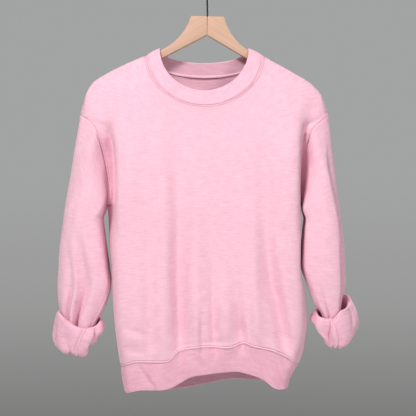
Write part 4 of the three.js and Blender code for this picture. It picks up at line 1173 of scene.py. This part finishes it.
def fine_between(rings, stops):
    """Smooth rings between the main ones; stops count the main rings from 0."""
    main = np.stack(rings)
    reach = np.linalg.norm(np.diff(main, axis=0), axis=-1).mean(axis=1)
    knots = np.concatenate([[0], np.cumsum(reach)])
    at = np.interp(stops, np.arange(len(main)), knots)
    count = main.shape[1]
    fine = np.empty((len(stops), count, 3))
    for k in range(3):
        slopes = knot_slopes(knots, main[..., k], steady=False)
        for row, spot in enumerate(at):
            fine[row, :, k] = curve_through(
                knots, main[..., k], np.full(count, spot), slopes=slopes
            )
    return fine


def folds_round(folds, angle, drop):
    """Height of a set of folds that run down a tube at each angle and drop."""
    degrees = np.degrees(angle)
    height = np.zeros_like(drop)
    for rows in folds.values():
        way = Table(ROUND, rows)(drop)
        aside = (degrees - way["angle"] + 180) % 360 - 180
        width = np.where(aside < 0, way["before"], way["behind"])
        height += way["height"] * np.exp(-((aside / width) ** 2))
    return height


# Where the chance of each sleeve's unevenness starts, how high and long it is, and its mm a degree
SLEEVE_LIE = {"left": 53, "right": 71}
SLEEVE_WAVES = {"height": 0.6, "shortest": 40, "longest": 120}
ROUND_MM = 0.9


def sleeve_fold_height(side, angle, drop, stop):
    """The folds of the tube, which die out at the armhole."""
    lie = uneven(SLEEVE_LIE[side], ROUND_MM * np.degrees(angle), drop, **SLEEVE_WAVES)
    cap = smooth(stop / UPPER_RINGS / CAP_PLAIN_SHARE)
    return cap * (folds_round(SLEEVE_FOLDS[side], angle, drop) + lie)


def sleeve_seam_height(side, angle, drop):
    """The closing seam of a sleeve: a groove, and the seam allowance swelling the inner side of it."""
    seam = Table(["drop", "angle"], SLEEVE_SEAM[side])(drop)["angle"]
    aside = (np.degrees(angle) - seam) * SEAM_STEP["mm_per_degree"]
    groove = -SEAM_STEP["groove"] * np.exp(-((aside / SEAM_STEP["groove_width"]) ** 2))
    risen = smooth(aside / SEAM_STEP["rise"] + 0.5)
    swell = risen * smooth((SEAM_STEP["swell_width"] - aside) / SEAM_STEP["fall"] + 0.5)
    return groove + SEAM_STEP["swell"] * swell


def roll_dent_height(side, angle, down):
    degrees = np.degrees(angle)
    height = np.zeros_like(down)
    for centre, share, width, length, lift in ROLL_DENTS[side]:
        aside = (degrees - centre + 180) % 360 - 180
        height += lift * np.exp(-((aside / width) ** 2) - ((down - share) / length) ** 2)
    below = smooth((1.0 - down) / DENT_EDGES["low"] + DENT_EDGES["left_at_low"])
    return height * smooth(down / DENT_EDGES["top"]) * below


# Which main ring, counted from the armhole, ends the tube, ends its lower turn and ends the roll
TUBE_END = UPPER_RINGS + len(SLEEVE_RINGS["left"]["tube"]) - 1
ROLL_START = TUBE_END + len(TURN_STEPS)
ROLL_TOP = ROLL_START + len(ROLL_SHARES)
SLEEVE_STOPS = np.concatenate([
    (np.arange(0, 8) / 8) ** 1.6 * 0.35, np.linspace(0.35, TUBE_END, 104)[:-1],
    np.linspace(TUBE_END, ROLL_START + 1, 13)[:-1], np.linspace(ROLL_START + 1, ROLL_TOP, 18)[:-1],
    np.linspace(ROLL_TOP, ROLL_TOP + len(TURN_STEPS) + 1, 13),
])
SLEEVE_ANGLES = np.radians(np.concatenate([
    np.arange(0, 34, 3.4), np.arange(34, 188, 1.55), np.linspace(188, 360, 54)[:-1]
]))
# over how many main rings the folds of the tube, and those of the roll, die out
ROLL_FADE = 1.5


def sleeve_surface(side, angle):
    """Fine grid of a sleeve at the given angles, folds and all, before the seam's relief."""
    fine = fine_between(sleeve_rings(side, angle), SLEEVE_STOPS)
    drop = NECK_LEVEL - fine[..., 2]
    stop = np.repeat(SLEEVE_STOPS[:, None], len(angle), axis=1)
    round_it = np.repeat(angle[None, :], len(SLEEVE_STOPS), axis=0)
    fade = smooth((TUBE_END + ROLL_FADE - stop) / ROLL_FADE)
    folds = (sleeve_fold_height(side, round_it, drop, stop)
             + sleeve_seam_height(side, round_it, drop) * smooth(stop - UPPER_RINGS + 0.5)) * fade
    down = np.clip((ROLL_TOP + 1 - stop) / (ROLL_TOP - TUBE_END), 0, 1)
    dents = roll_dent_height(side, round_it, down) + folds_round(ROLL_FOLDS[side], round_it, drop)
    dents *= smooth(stop - TUBE_END - 1) * smooth((ROLL_TOP + ROLL_FADE - stop) / ROLL_FADE)
    return fine + out_of_sleeve(side, angle)[None] * (folds + dents)[..., None]


sleeve_grids = {}
for side in ("left", "right"):
    plain = sleeve_surface(side, SLEEVE_ANGLES)
    if side == "right":
        plain = plain[:, ::-1]
    from_armhole = walk(plain, 0)
    sewn = plain + grid_normals(plain, closed=True) * seam_relief(from_armhole)[..., None]
    sleeve_grids[side] = sewn if side == "left" else sewn[:, ::-1]
    points = draw_back(sewn, closed=True)
    sleeve = cloth_grid(f"sleeve_{side}_fleece", points, True, map_of(plain, True))
    sleeve.data.materials.append(fleece_outside)
    sleeve.data.materials.append(fleece_inside)
    give_wall(sleeve, FLEECE)
    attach(sleeve, "root")
    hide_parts(f"sleeve_{side}")


# Neckband and waistband
# Bands of 1x1 rib knit, 3 mm thick because each is folded double along its free edge. The
# neckband stands up round the neck hole, and the waistband draws in the lower edge.
RIB = {"thick": 3.0, "pitch": 2.6, "height": 0.42, "columns": 6}
NECK_EDGE = {
    "centre_x": -6.5, "half_width": 91.5, "shoulder": -2.0, "front": 88.0, "back": 26.0, "lean": 0.84,
}
# how far each band swells out between its seam and its free edge, and how the waistband draws in
NECKBAND_SWELL = 6.0
WAISTBAND_TAPER = {"left": 0.955, "right": 0.9, "depth": 0.95}
WAISTBAND_SWELL = 5.0
WAISTBAND_HALF = 180.0
WAISTBAND_CALM = 0.55
# Slack of the waistband: at each share down it the place (x), the half widths and the height
BAND_CREASES = {
    "front": {
        "left drag": [(0.0, -138, 5, 7, 0), (0.25, -132, 5, 7, -2.6), (0.7, -116, 5, 7, -3.2),
                      (1.0, -108, 5, 7, -1.5)],
        "left drag light": [(0.0, -124, 7, 7, 0), (0.4, -114, 7, 7, 1.6), (1.0, -96, 7, 7, 1)],
        "under the trough": [(0.0, -54, 16, 16, 0), (0.4, -56, 20, 20, -2.4), (1.0, -62, 22, 22, -2)],
        "middle swell": [(0.0, 0, 24, 24, 0), (0.5, -4, 28, 28, 1.6), (1.0, -6, 28, 28, 1)],
        "under the pucker": [(0.0, 64, 12, 12, 0), (0.3, 60, 14, 14, -1.8), (1.0, 54, 18, 18, -0.6)],
        "right drag": [(0.0, 127, 5, 6, -1.5), (0.35, 134, 5, 6, -3.8), (0.8, 146, 5, 6, -4.4),
                       (1.0, 150, 5, 6, -3)],
        "right drag light": [(0.0, 138, 6, 6, 0.5), (0.4, 146, 6, 6, 2.2), (1.0, 160, 6, 6, 1.5)],
    },
    "back": {
        "left back drag": [(0.0, -118, 8, 8, 0), (0.5, -108, 9, 9, -3), (1.0, -100, 9, 9, -2)],
        "back swell": [(0.0, -40, 26, 26, 0), (0.5, -34, 28, 28, 1.8), (1.0, -30, 28, 28, 1)],
        "back dip": [(0.0, 36, 14, 14, 0), (0.5, 34, 16, 16, -2.4), (1.0, 34, 16, 16, -1)],
        "right back drag": [(0.0, 100, 8, 8, 0), (0.5, 112, 9, 9, -3), (1.0, 122, 9, 9, -2)],
    },
}
ALONG_BAND = ["share", "x", "left", "right", "height"]


def loop_of(face_point, samples=260):
    """A closed line round both faces: across the front from left to right and back behind."""
    share = np.linspace(-1, 1, samples)
    front = face_point("front", share)
    back = face_point("back", share[::-1])
    return np.concatenate([front, back[1:-1]])


def even_round(lines, count):
    """Moves all lines of a band to stops that lie evenly along its middle line."""
    lines = np.concatenate([lines, lines[:, :1]], axis=1)
    length = walk(lines[len(lines) // 2][None], 1)[0]
    stops = np.linspace(0, length[-1], count + 1)[:-1]
    return np.stack([
        np.stack([np.interp(stops, length, line[:, k]) for k in range(3)], axis=-1) for line in lines
    ])


def band_shell(outer, thickness, ribs):
    """A band's outside, folded edge and inside in one grid, down from the seam and back up to it."""
    columns = outer.shape[1]
    normal = np.cross(np.roll(outer, -1, 1) - np.roll(outer, 1, 1),
                      outer[np.r_[0, 0:len(outer) - 1]] - outer[np.r_[1:len(outer), len(outer) - 1]])
    normal /= np.linalg.norm(normal, axis=-1, keepdims=True)
    middle = outer.mean(axis=(0, 1))
    if ((outer - middle) * normal)[..., :2].sum() < 0:
        normal = -normal
    wave = RIB["height"] * (np.cos(2 * np.pi * ribs * np.arange(columns) / columns) - 1) / 2
    radius = thickness / 2
    onward = outer[-1] - outer[-2]
    onward /= np.linalg.norm(onward, axis=-1, keepdims=True)
    centre = outer[-1] - normal[-1] * radius
    rows = [outer[i] + normal[i] * wave[:, None] for i in range(len(outer))]
    for degrees in (30, 60, 90, 120, 150):
        a = math.radians(degrees)
        way = normal[-1] * math.cos(a) + onward * math.sin(a)
        rows.append(centre + way * (radius + wave)[:, None])
    for i in range(len(outer) - 1, -1, -1):
        rows.append(outer[i] - normal[i] * (thickness + wave)[:, None])
    return np.stack(rows)


def close_seam_edge(piece):
    """Joins the outside and the inside of a band at its sewn edge."""
    bpy.ops.object.select_all(action="DESELECT")
    bpy.context.view_layer.objects.active = piece
    piece.select_set(True)
    bpy.ops.object.mode_set(mode="EDIT")
    bpy.ops.mesh.select_all(action="DESELECT")
    bpy.ops.mesh.select_mode(type="EDGE")
    bpy.ops.mesh.select_non_manifold(extend=False)
    bpy.ops.mesh.bridge_edge_loops()
    bpy.ops.mesh.select_all(action="SELECT")
    bpy.ops.mesh.normals_make_consistent(inside=False)
    bpy.ops.object.mode_set(mode="OBJECT")
    bpy.ops.object.shade_smooth_by_angle(angle=math.radians(60))


def rib_material(name, shade, light):
    """Rib knit: fine slanted stitches down each raised column, flecked like the fleece."""
    material, tree, shader = new_material(
        name, Roughness=0.92, Specular_IOR_Level=0.18, Sheen_Weight=0.3, Sheen_Roughness=0.45,
        Sheen_Tint=(1.0, 0.86, 0.90, 1.0),
    )
    own = make(tree, "ShaderNodeUVMap")
    fine = make(tree, "ShaderNodeMapping", {}, {"Vector": own, "Scale": (700.0, 180.0, 1.0)})
    streaky = make(tree, "ShaderNodeMapping", {}, {"Vector": own, "Scale": (40.0, 260.0, 1.0)})
    tone = (noise(tree, fine, 1.0, 2.0, 0.6) * 0.3 + noise(tree, streaky, 1.0, 3.0, 0.6) * 0.4
            + noise(tree, own, 40.0, 4.0, 0.6) * 0.3)
    colour = between(tree, (tone - 0.5) * 3.4 + 0.5, shade, light)
    tree.links.new(colour.socket, shader.inputs["Base Color"])
    split = make(tree, "ShaderNodeSeparateXYZ", {}, {"Vector": own})
    down = make(tree, "ShaderNodeSeparateXYZ", {}, {"Vector": own}, out=1)
    slant = split * (2 * math.pi / (RIB["pitch"] * MM))
    leg = down * (2 * math.pi / (KNIT["course"] * MM)) + slant.sine() * 1.4
    relief = bumps(tree, shader, leg.sine(), 0.0001)
    bumps(tree, shader, noise(tree, own, 460.0, 4.0, 0.7), 0.00025, relief)
    return material


# One rib yarn in two copies: the waistband's pinks are painted deeper, as painted shade low on the
# garment, and the neckband's are painted paler, as painted light high on it
RIB_PINK_PAINTED_LIGHT_AND_SHADE = {
    "waist_painted_shade_pale": (0.88, 0.50, 0.61, 1), "waist_painted_shade_deep": (0.72, 0.355, 0.465, 1),
    "neck_painted_light_pale": (0.95, 0.58, 0.69, 1), "neck_painted_light_deep": (0.83, 0.45, 0.56, 1),
}
rib_knits = {
    "neckband": rib_material("neck_rib_knit_painted_light", RIB_PINK_PAINTED_LIGHT_AND_SHADE["neck_painted_light_deep"], RIB_PINK_PAINTED_LIGHT_AND_SHADE["neck_painted_light_pale"]),
    "waistband": rib_material("waist_rib_knit_painted_shade", RIB_PINK_PAINTED_LIGHT_AND_SHADE["waist_painted_shade_deep"], RIB_PINK_PAINTED_LIGHT_AND_SHADE["waist_painted_shade_pale"]),
}


def neck_edge(face, share):
    """The free edge of the neckband above each place of the neck seam."""
    turn = share * np.pi / 2
    low = body_point(face, share, 0.0)
    drop = mix(NECK_EDGE["shoulder"], NECK_EDGE[face], np.cos(turn))
    return np.stack([
        NECK_EDGE["centre_x"] + NECK_EDGE["half_width"] * np.sin(turn),
        low[:, 1] * NECK_EDGE["lean"], NECK_LEVEL - drop,
    ], axis=-1)


def neck_line(t):
    seam = loop_of(lambda face, share: body_point(face, share, 0.0))
    edge = loop_of(neck_edge)
    line = mix(seam, edge, t)
    line[:, 2] += NECKBAND_SWELL * t * (1 - t)
    return line


def waist_edge(face, share):
    high = body_point(face, share, 3.0, creased=0.0)
    taper = np.where(share < 0, WAISTBAND_TAPER["left"], WAISTBAND_TAPER["right"])
    return np.stack([
        high[:, 0] * taper, high[:, 1] * WAISTBAND_TAPER["depth"],
        NECK_LEVEL - HEM[face](high[:, 0])["edge"],
    ], axis=-1)


waist_seam = loop_of(lambda face, share: body_point(face, share, 3.0))
waist_plain = loop_of(lambda face, share: body_point(face, share, 3.0, creased=0.0))
waist_free = loop_of(waist_edge)


def waist_line(t):
    """A line round the waistband. The body's folds die out down the upper part of it."""
    line = mix(mix(waist_seam, waist_plain, smooth(t / WAISTBAND_CALM)), waist_free, t)
    sideways = waist_seam[:, 0] / WAISTBAND_HALF
    early = t * (1 - t) * np.maximum(0, sideways)
    swell = WAISTBAND_SWELL * t * (1 - t)
    line[:, 0] += early * (waist_free[:, 0] - waist_seam[:, 0]) + swell * sideways
    line[:, 1] += swell * np.sign(line[:, 1])
    return line


def slack_waist(lines):
    """The waistband's own shallow creases."""
    moved = lines.copy()
    shares = np.repeat(np.linspace(0, 1, len(lines))[:, None], lines.shape[1], axis=1)
    for face, sign in (("front", -1), ("back", 1)):
        facing = smooth(sign * lines[..., 1] / 24)
        for rows in BAND_CREASES[face].values():
            way = Table(ALONG_BAND, rows)(shares)
            aside = lines[..., 0] - way["x"]
            width = np.where(aside < 0, way["left"], way["right"])
            moved[..., 1] += sign * facing * way["height"] * np.exp(-((aside / width) ** 2))
    return moved


BAND_ROWS = {"neckband": 11, "waistband": 18}
for name in ("neckband", "waistband"):
    stops = np.linspace(0, 1, BAND_ROWS[name])
    lines = np.stack([neck_line(t) if name == "neckband" else waist_line(t) for t in stops])
    if name == "waistband":
        lines = slack_waist(lines)
    length = walk(np.concatenate([lines[0], lines[0][:1]])[None], 1)[0, -1]
    ribs = round(length / RIB["pitch"])
    lines = even_round(lines, ribs * RIB["columns"])
    lines = draw_back(lines, closed=True, ends=(True, False))
    shell = band_shell(lines, RIB["thick"], ribs)
    band = cloth_grid(f"{name}_rib", shell, True, map_of(shell, True))
    close_seam_edge(band)
    band.data.materials.append(rib_knits[name])
    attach(band, "root")
    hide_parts(name)


# Hidden cuffs
# The ribbed cuff of each sleeve, sewn to its end. The roll wraps it up between its two layers, so
# only its place and its plain form are known.
CUFF_END = {"out": 6.5, "up": 7.0}
CUFF = {"columns": 4, "rows": 8, "samples": 400}
for side in ("left", "right"):
    angle = np.arange(CUFF["samples"]) * 2 * np.pi / CUFF["samples"]
    rings = sleeve_rings(side, angle)
    start, lowest = rings[-1], rings[TUBE_END]
    end = lowest + out_of_sleeve(side, angle) * CUFF_END["out"]
    end[:, 2] += CUFF_END["up"]
    lines = np.stack([mix(start, end, t) for t in np.linspace(0, 1, CUFF["rows"])])
    if side == "right":
        lines = lines[:, ::-1]
    length = walk(np.concatenate([lines[0], lines[0][:1]])[None], 1)[0, -1]
    ribs = round(length / RIB["pitch"])
    lines = even_round(lines, ribs * CUFF["columns"])
    lines = draw_back(lines, closed=True, ends=(True, False))
    shell = band_shell(lines, RIB["thick"], ribs)
    cuff = cloth_grid(f"cuff_{side}_rib", shell, True, map_of(shell, True))
    close_seam_edge(cuff)
    # the hidden cuffs take the waistband's copy of the rib, painted deeper as painted shade
    cuff.data.materials.append(rib_knits["waistband"])
    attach(cuff, "root")
    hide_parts(f"cuff_{side}")


# Needle lines
# Twin rows of lockstitch in pink thread, sewn by machine through the cloth beside the neck seam, the
# armholes and the waist seam, where they hold the seam allowance flat. The thread is painted deeper
# than the cloth, as painted shade of the furrows it lies in.
STITCH = {"pitch": 3.4, "long": 2.9, "wide": 1.0, "high": 0.7, "lift": 0.1, "rows": (1.5, 5.0)}
# the needle thread's pinks are painted deeper than the cloth: painted shade of the needle furrows
NEEDLE_THREAD_PAINTED_SHADE = {"light": (0.68, 0.34, 0.44, 1), "shade": (0.54, 0.24, 0.33, 1)}


def thread_material(name, shade, light):
    """Spun polyester thread, slightly uneven in tone along its twist."""
    spun, tree, shader = new_material(name, Roughness=0.7, Specular_IOR_Level=0.3)
    place = make(tree, "ShaderNodeTexCoord", out=3)
    tree.links.new(
        between(tree, noise(tree, place, 900.0, 2.0), shade, light).socket, shader.inputs["Base Color"]
    )
    return spun


thread = thread_material("pink_thread_painted_shade", NEEDLE_THREAD_PAINTED_SHADE["shade"], NEEDLE_THREAD_PAINTED_SHADE["light"])


def line_in(points, distance, wanted):
    """The line on a grid that lies the wanted way from its first row; one place for each column."""
    return np.stack([
        [np.interp(wanted, distance[:, j], points[:, j, k]) for k in range(3)]
        for j in range(points.shape[1])
    ])


def even_places(line, outward, pitch):
    """Even stops along a line: the place there, the way ahead, the way aside and the way out."""
    length = walk(line[None], 1)[0]
    count = max(1, round(length[-1] / pitch))
    stops = (np.arange(count) + 0.5) * length[-1] / count
    read = lambda values, at: np.stack([np.interp(at, length, values[:, k]) for k in range(3)], axis=-1)
    unit = lambda ways: ways / np.maximum(np.linalg.norm(ways, axis=-1, keepdims=True), 1e-9)
    ahead = unit(read(line, stops + pitch / 3) - read(line, stops - pitch / 3))
    out = read(outward, stops)
    out = unit(out - ahead * (out * ahead).sum(-1, keepdims=True))
    return read(line, stops), ahead, np.cross(out, ahead), out


def model_stitch(long, wide, high):
    """One stitch, lying along X and standing out along Z; in millimetres."""
    bpy.ops.object.select_all(action="DESELECT")
    bpy.ops.mesh.primitive_uv_sphere_add(
        segments=6, ring_count=5, radius=0.5, rotation=(0, math.pi / 2, 0)
    )
    stitch = bpy.context.object
    bpy.ops.object.transform_apply(location=False, rotation=True, scale=False)
    stitch.scale = (long, wide, high)
    bpy.ops.object.transform_apply(location=False, rotation=False, scale=True)
    return stitch


def sew(name, model, runs, finish, slant=0.0):
    """Copies of a stitch at all the places of the runs, joined in one piece."""
    corners = vertex_places(model)
    faces = [tuple(face.vertices) for face in model.data.polygons]
    turned = corners.copy()
    turned[:, 0] = corners[:, 0] * math.cos(slant) - corners[:, 1] * math.sin(slant)
    turned[:, 1] = corners[:, 0] * math.sin(slant) + corners[:, 1] * math.cos(slant)
    spots, all_faces = [], []
    for places, ahead, aside, out in runs:
        for k in range(len(places)):
            start = len(spots) * len(corners)
            spots.append(places[k] + turned @ np.stack([ahead[k], aside[k], out[k]]))
            all_faces += [tuple(start + v for v in face) for face in faces]
    row = bpy.data.meshes.new(name)
    row.from_pydata(np.concatenate(spots) * MM, [], all_faces)
    row.update()
    piece = bpy.data.objects.new(name, row)
    bpy.context.collection.objects.link(piece)
    bpy.data.objects.remove(model)
    for face in row.polygons:
        face.use_smooth = True
    row.materials.append(finish)
    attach(piece, "root")
    return piece


needle_runs = {"neck": [], "armhole_left": [], "armhole_right": [], "waist": []}
for face in ("front", "back"):
    sewn, from_neck, from_waist, from_start, from_end = panel_grids[face]
    out = grid_normals(sewn)
    at_armhole = np.flatnonzero((PANEL_ROWS >= 1) & (PANEL_ROWS <= 2))
    across = lambda grid: np.swapaxes(grid[at_armhole], 0, 1)
    starts, ends = (("left", "right") if face == "front" else ("right", "left"))
    for wanted in STITCH["rows"]:
        for place, points, normals, distance in (
            ("neck", sewn, out, from_neck),
            ("waist", sewn[::-1], out[::-1], from_waist[::-1]),
            (f"armhole_{starts}", across(sewn), across(out), across(from_start)),
            (f"armhole_{ends}", across(sewn)[::-1], across(out)[::-1], across(from_end)[::-1]),
        ):
            line = line_in(points, distance, wanted)
            lifted = line + line_in(normals, distance, wanted) * STITCH["lift"]
            needle_runs[place].append(
                even_places(lifted, line_in(normals, distance, wanted), STITCH["pitch"])
            )
for place, runs in needle_runs.items():
    stitch = model_stitch(STITCH["long"], STITCH["wide"], STITCH["high"])
    rows = sew(f"needle_rows_{place}", stitch, runs, thread)
    "rib" if place in ("neck", "waist") else "fleece"


# Overlocked seam allowances
# The raw edges of a seam, trimmed and bound together by loops of thread on the wrong side. They show
# as a raised ridge inside the back of the neck and down the outside of each rolled sleeve end. The
# loops are painted paler than the cloth, a painted highlight along the ridge.
OVERLOCK = {"neck": {"wide": 6.0, "high": 3.0}, "roll": {"wide": 5.6, "high": 5.0}}
LOOP = {"pitch": 2.1, "thick": 0.75, "slant": 0.35, "reach": 0.9, "lift": 0.42}
NECK_ALLOWANCE = {"samples": 300, "inside_wall": 1.6, "below_seam": 1.0}
# on the roll: which main rings it starts and ends by, the angle where its drop is read, and its rise
ROLL_ALLOWANCE = {"first": TUBE_END + 1.2, "last": ROLL_TOP + 2.2, "angle": 100, "lift": 0.36}
RIDGE = {"sides": 12, "end_sizes": (0.0, 0.6, 0.9), "map_step": 3.0}
# real loop thread, with its pinks painted paler than the cloth as a painted highlight on the raised ridges
LOOP_THREAD_PAINTED_HIGHLIGHT = {"light": (0.97, 0.66, 0.75, 1), "shade": (0.88, 0.53, 0.63, 1)}
pale_thread_painted_highlight = thread_material("pale_pink_thread_painted_highlight", LOOP_THREAD_PAINTED_HIGHLIGHT["shade"], LOOP_THREAD_PAINTED_HIGHLIGHT["light"])
ROLL_SEAM = {
    "left": [(530, 113), (552, 112), (560, 110), (570, 104), (584, 99), (598, 97), (612, 93), (630, 91)],
    "right": [(520, 113), (536, 112), (542, 109), (552, 99.5), (564, 94.6), (602, 93.4), (620, 93)],
}


def ridge_along(name, line, outward, wide, high, closed):
    """A flattened round ridge along a line, its ends drawn in where it doesn't close on itself."""
    step = np.roll(line, -1, 0) - np.roll(line, 1, 0)
    if not closed:
        step[0], step[-1] = line[1] - line[0], line[-1] - line[-2]
    ahead = step / np.linalg.norm(step, axis=-1, keepdims=True)
    out = outward - ahead * (outward * ahead).sum(-1, keepdims=True)
    out /= np.linalg.norm(out, axis=-1, keepdims=True)
    aside = np.cross(out, ahead)
    size = np.ones(len(line))
    if not closed:
        size[:3] = size[:-4:-1] = RIDGE["end_sizes"]
    section = np.arange(RIDGE["sides"] + 1) * 2 * np.pi / RIDGE["sides"]
    grid = np.stack([
        line + size[:, None] * (aside * math.cos(a) * wide / 2 + out * math.sin(a) * high / 2)
        for a in section
    ])
    length = np.append(0, np.cumsum(np.linalg.norm(np.diff(line, axis=0), axis=-1)))
    spots = np.stack(np.broadcast_arrays(length[None], (section * wide / 2)[:, None]), axis=-1)
    if closed:
        spots = np.concatenate([spots, spots[:, -1:] + [[[RIDGE["map_step"], 0.0]]]], axis=1)
    ridge = cloth_grid(name, grid, closed, spots)
    bpy.ops.object.mode_set(mode="EDIT")
    bpy.ops.mesh.select_all(action="SELECT")
    bpy.ops.mesh.remove_doubles(threshold=0.000005)
    bpy.ops.mesh.normals_make_consistent(inside=False)
    bpy.ops.object.mode_set(mode="OBJECT")
    bpy.ops.object.shade_smooth_by_angle(angle=math.radians(60))
    # the ridges take the neckband's copy of the rib, painted paler as painted light
    ridge.data.materials.append(rib_knits["neckband"])
    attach(ridge, "root")


neck_ring = even_round(
    loop_of(lambda face, share: body_point(face, share, 0.0))[None], NECK_ALLOWANCE["samples"]
)[0]
middle = neck_ring.mean(axis=0)
inward = (middle - neck_ring) * [1, 1, 0]
inward /= np.linalg.norm(inward, axis=-1, keepdims=True)
neck_ring = neck_ring + inward * (FLEECE + NECK_ALLOWANCE["inside_wall"])
neck_ring = neck_ring - [0, 0, NECK_ALLOWANCE["below_seam"]]
size = OVERLOCK["neck"]
ridge_along("neck_seam_allowance", neck_ring, inward, size["wide"], size["high"], closed=True)
around = np.concatenate([neck_ring, neck_ring[:1]])
inward_round = np.concatenate([inward, inward[:1]])
runs = [even_places(around + inward_round * size["high"] * LOOP["lift"], inward_round, LOOP["pitch"])]
loop = model_stitch(LOOP["thick"], size["wide"] * LOOP["reach"], LOOP["thick"])
bound = sew("neck_seam_threads", loop, runs, pale_thread_painted_highlight, LOOP["slant"])

for side in ("left", "right"):
    grid = sleeve_grids[side]
    on_roll = (SLEEVE_STOPS >= ROLL_ALLOWANCE["first"]) & (SLEEVE_STOPS <= ROLL_ALLOWANCE["last"])
    rows = np.flatnonzero(on_roll)[::-1]
    way = Table(["drop", "angle"], ROLL_SEAM[side])
    near = int(np.argmin(np.abs(np.degrees(SLEEVE_ANGLES) - ROLL_ALLOWANCE["angle"])))
    line, out = [], []
    # the grid runs upwards on the roll, which turns its normals inwards; the right one is mirrored
    normals = grid_normals(grid, closed=True) * (-1 if side == "left" else 1)
    for row in rows:
        angle = math.radians(float(way(NECK_LEVEL - grid[row, near, 2])["angle"]))
        line.append([np.interp(angle, SLEEVE_ANGLES, grid[row, :, k]) for k in range(3)])
        out.append([np.interp(angle, SLEEVE_ANGLES, normals[row, :, k]) for k in range(3)])
    line, out = np.array(line), np.array(out)
    size = OVERLOCK["roll"]
    line = line + out * size["high"] * ROLL_ALLOWANCE["lift"]
    ridge_along(f"roll_{side}_seam_allowance", line, out, size["wide"], size["high"], closed=False)
    runs = [even_places(line + out * size["high"] * LOOP["lift"], out, LOOP["pitch"])]
    loop = model_stitch(LOOP["thick"], size["wide"] * LOOP["reach"], LOOP["thick"])
    bound = sew(f"roll_{side}_seam_threads", loop, runs, pale_thread_painted_highlight, LOOP["slant"])
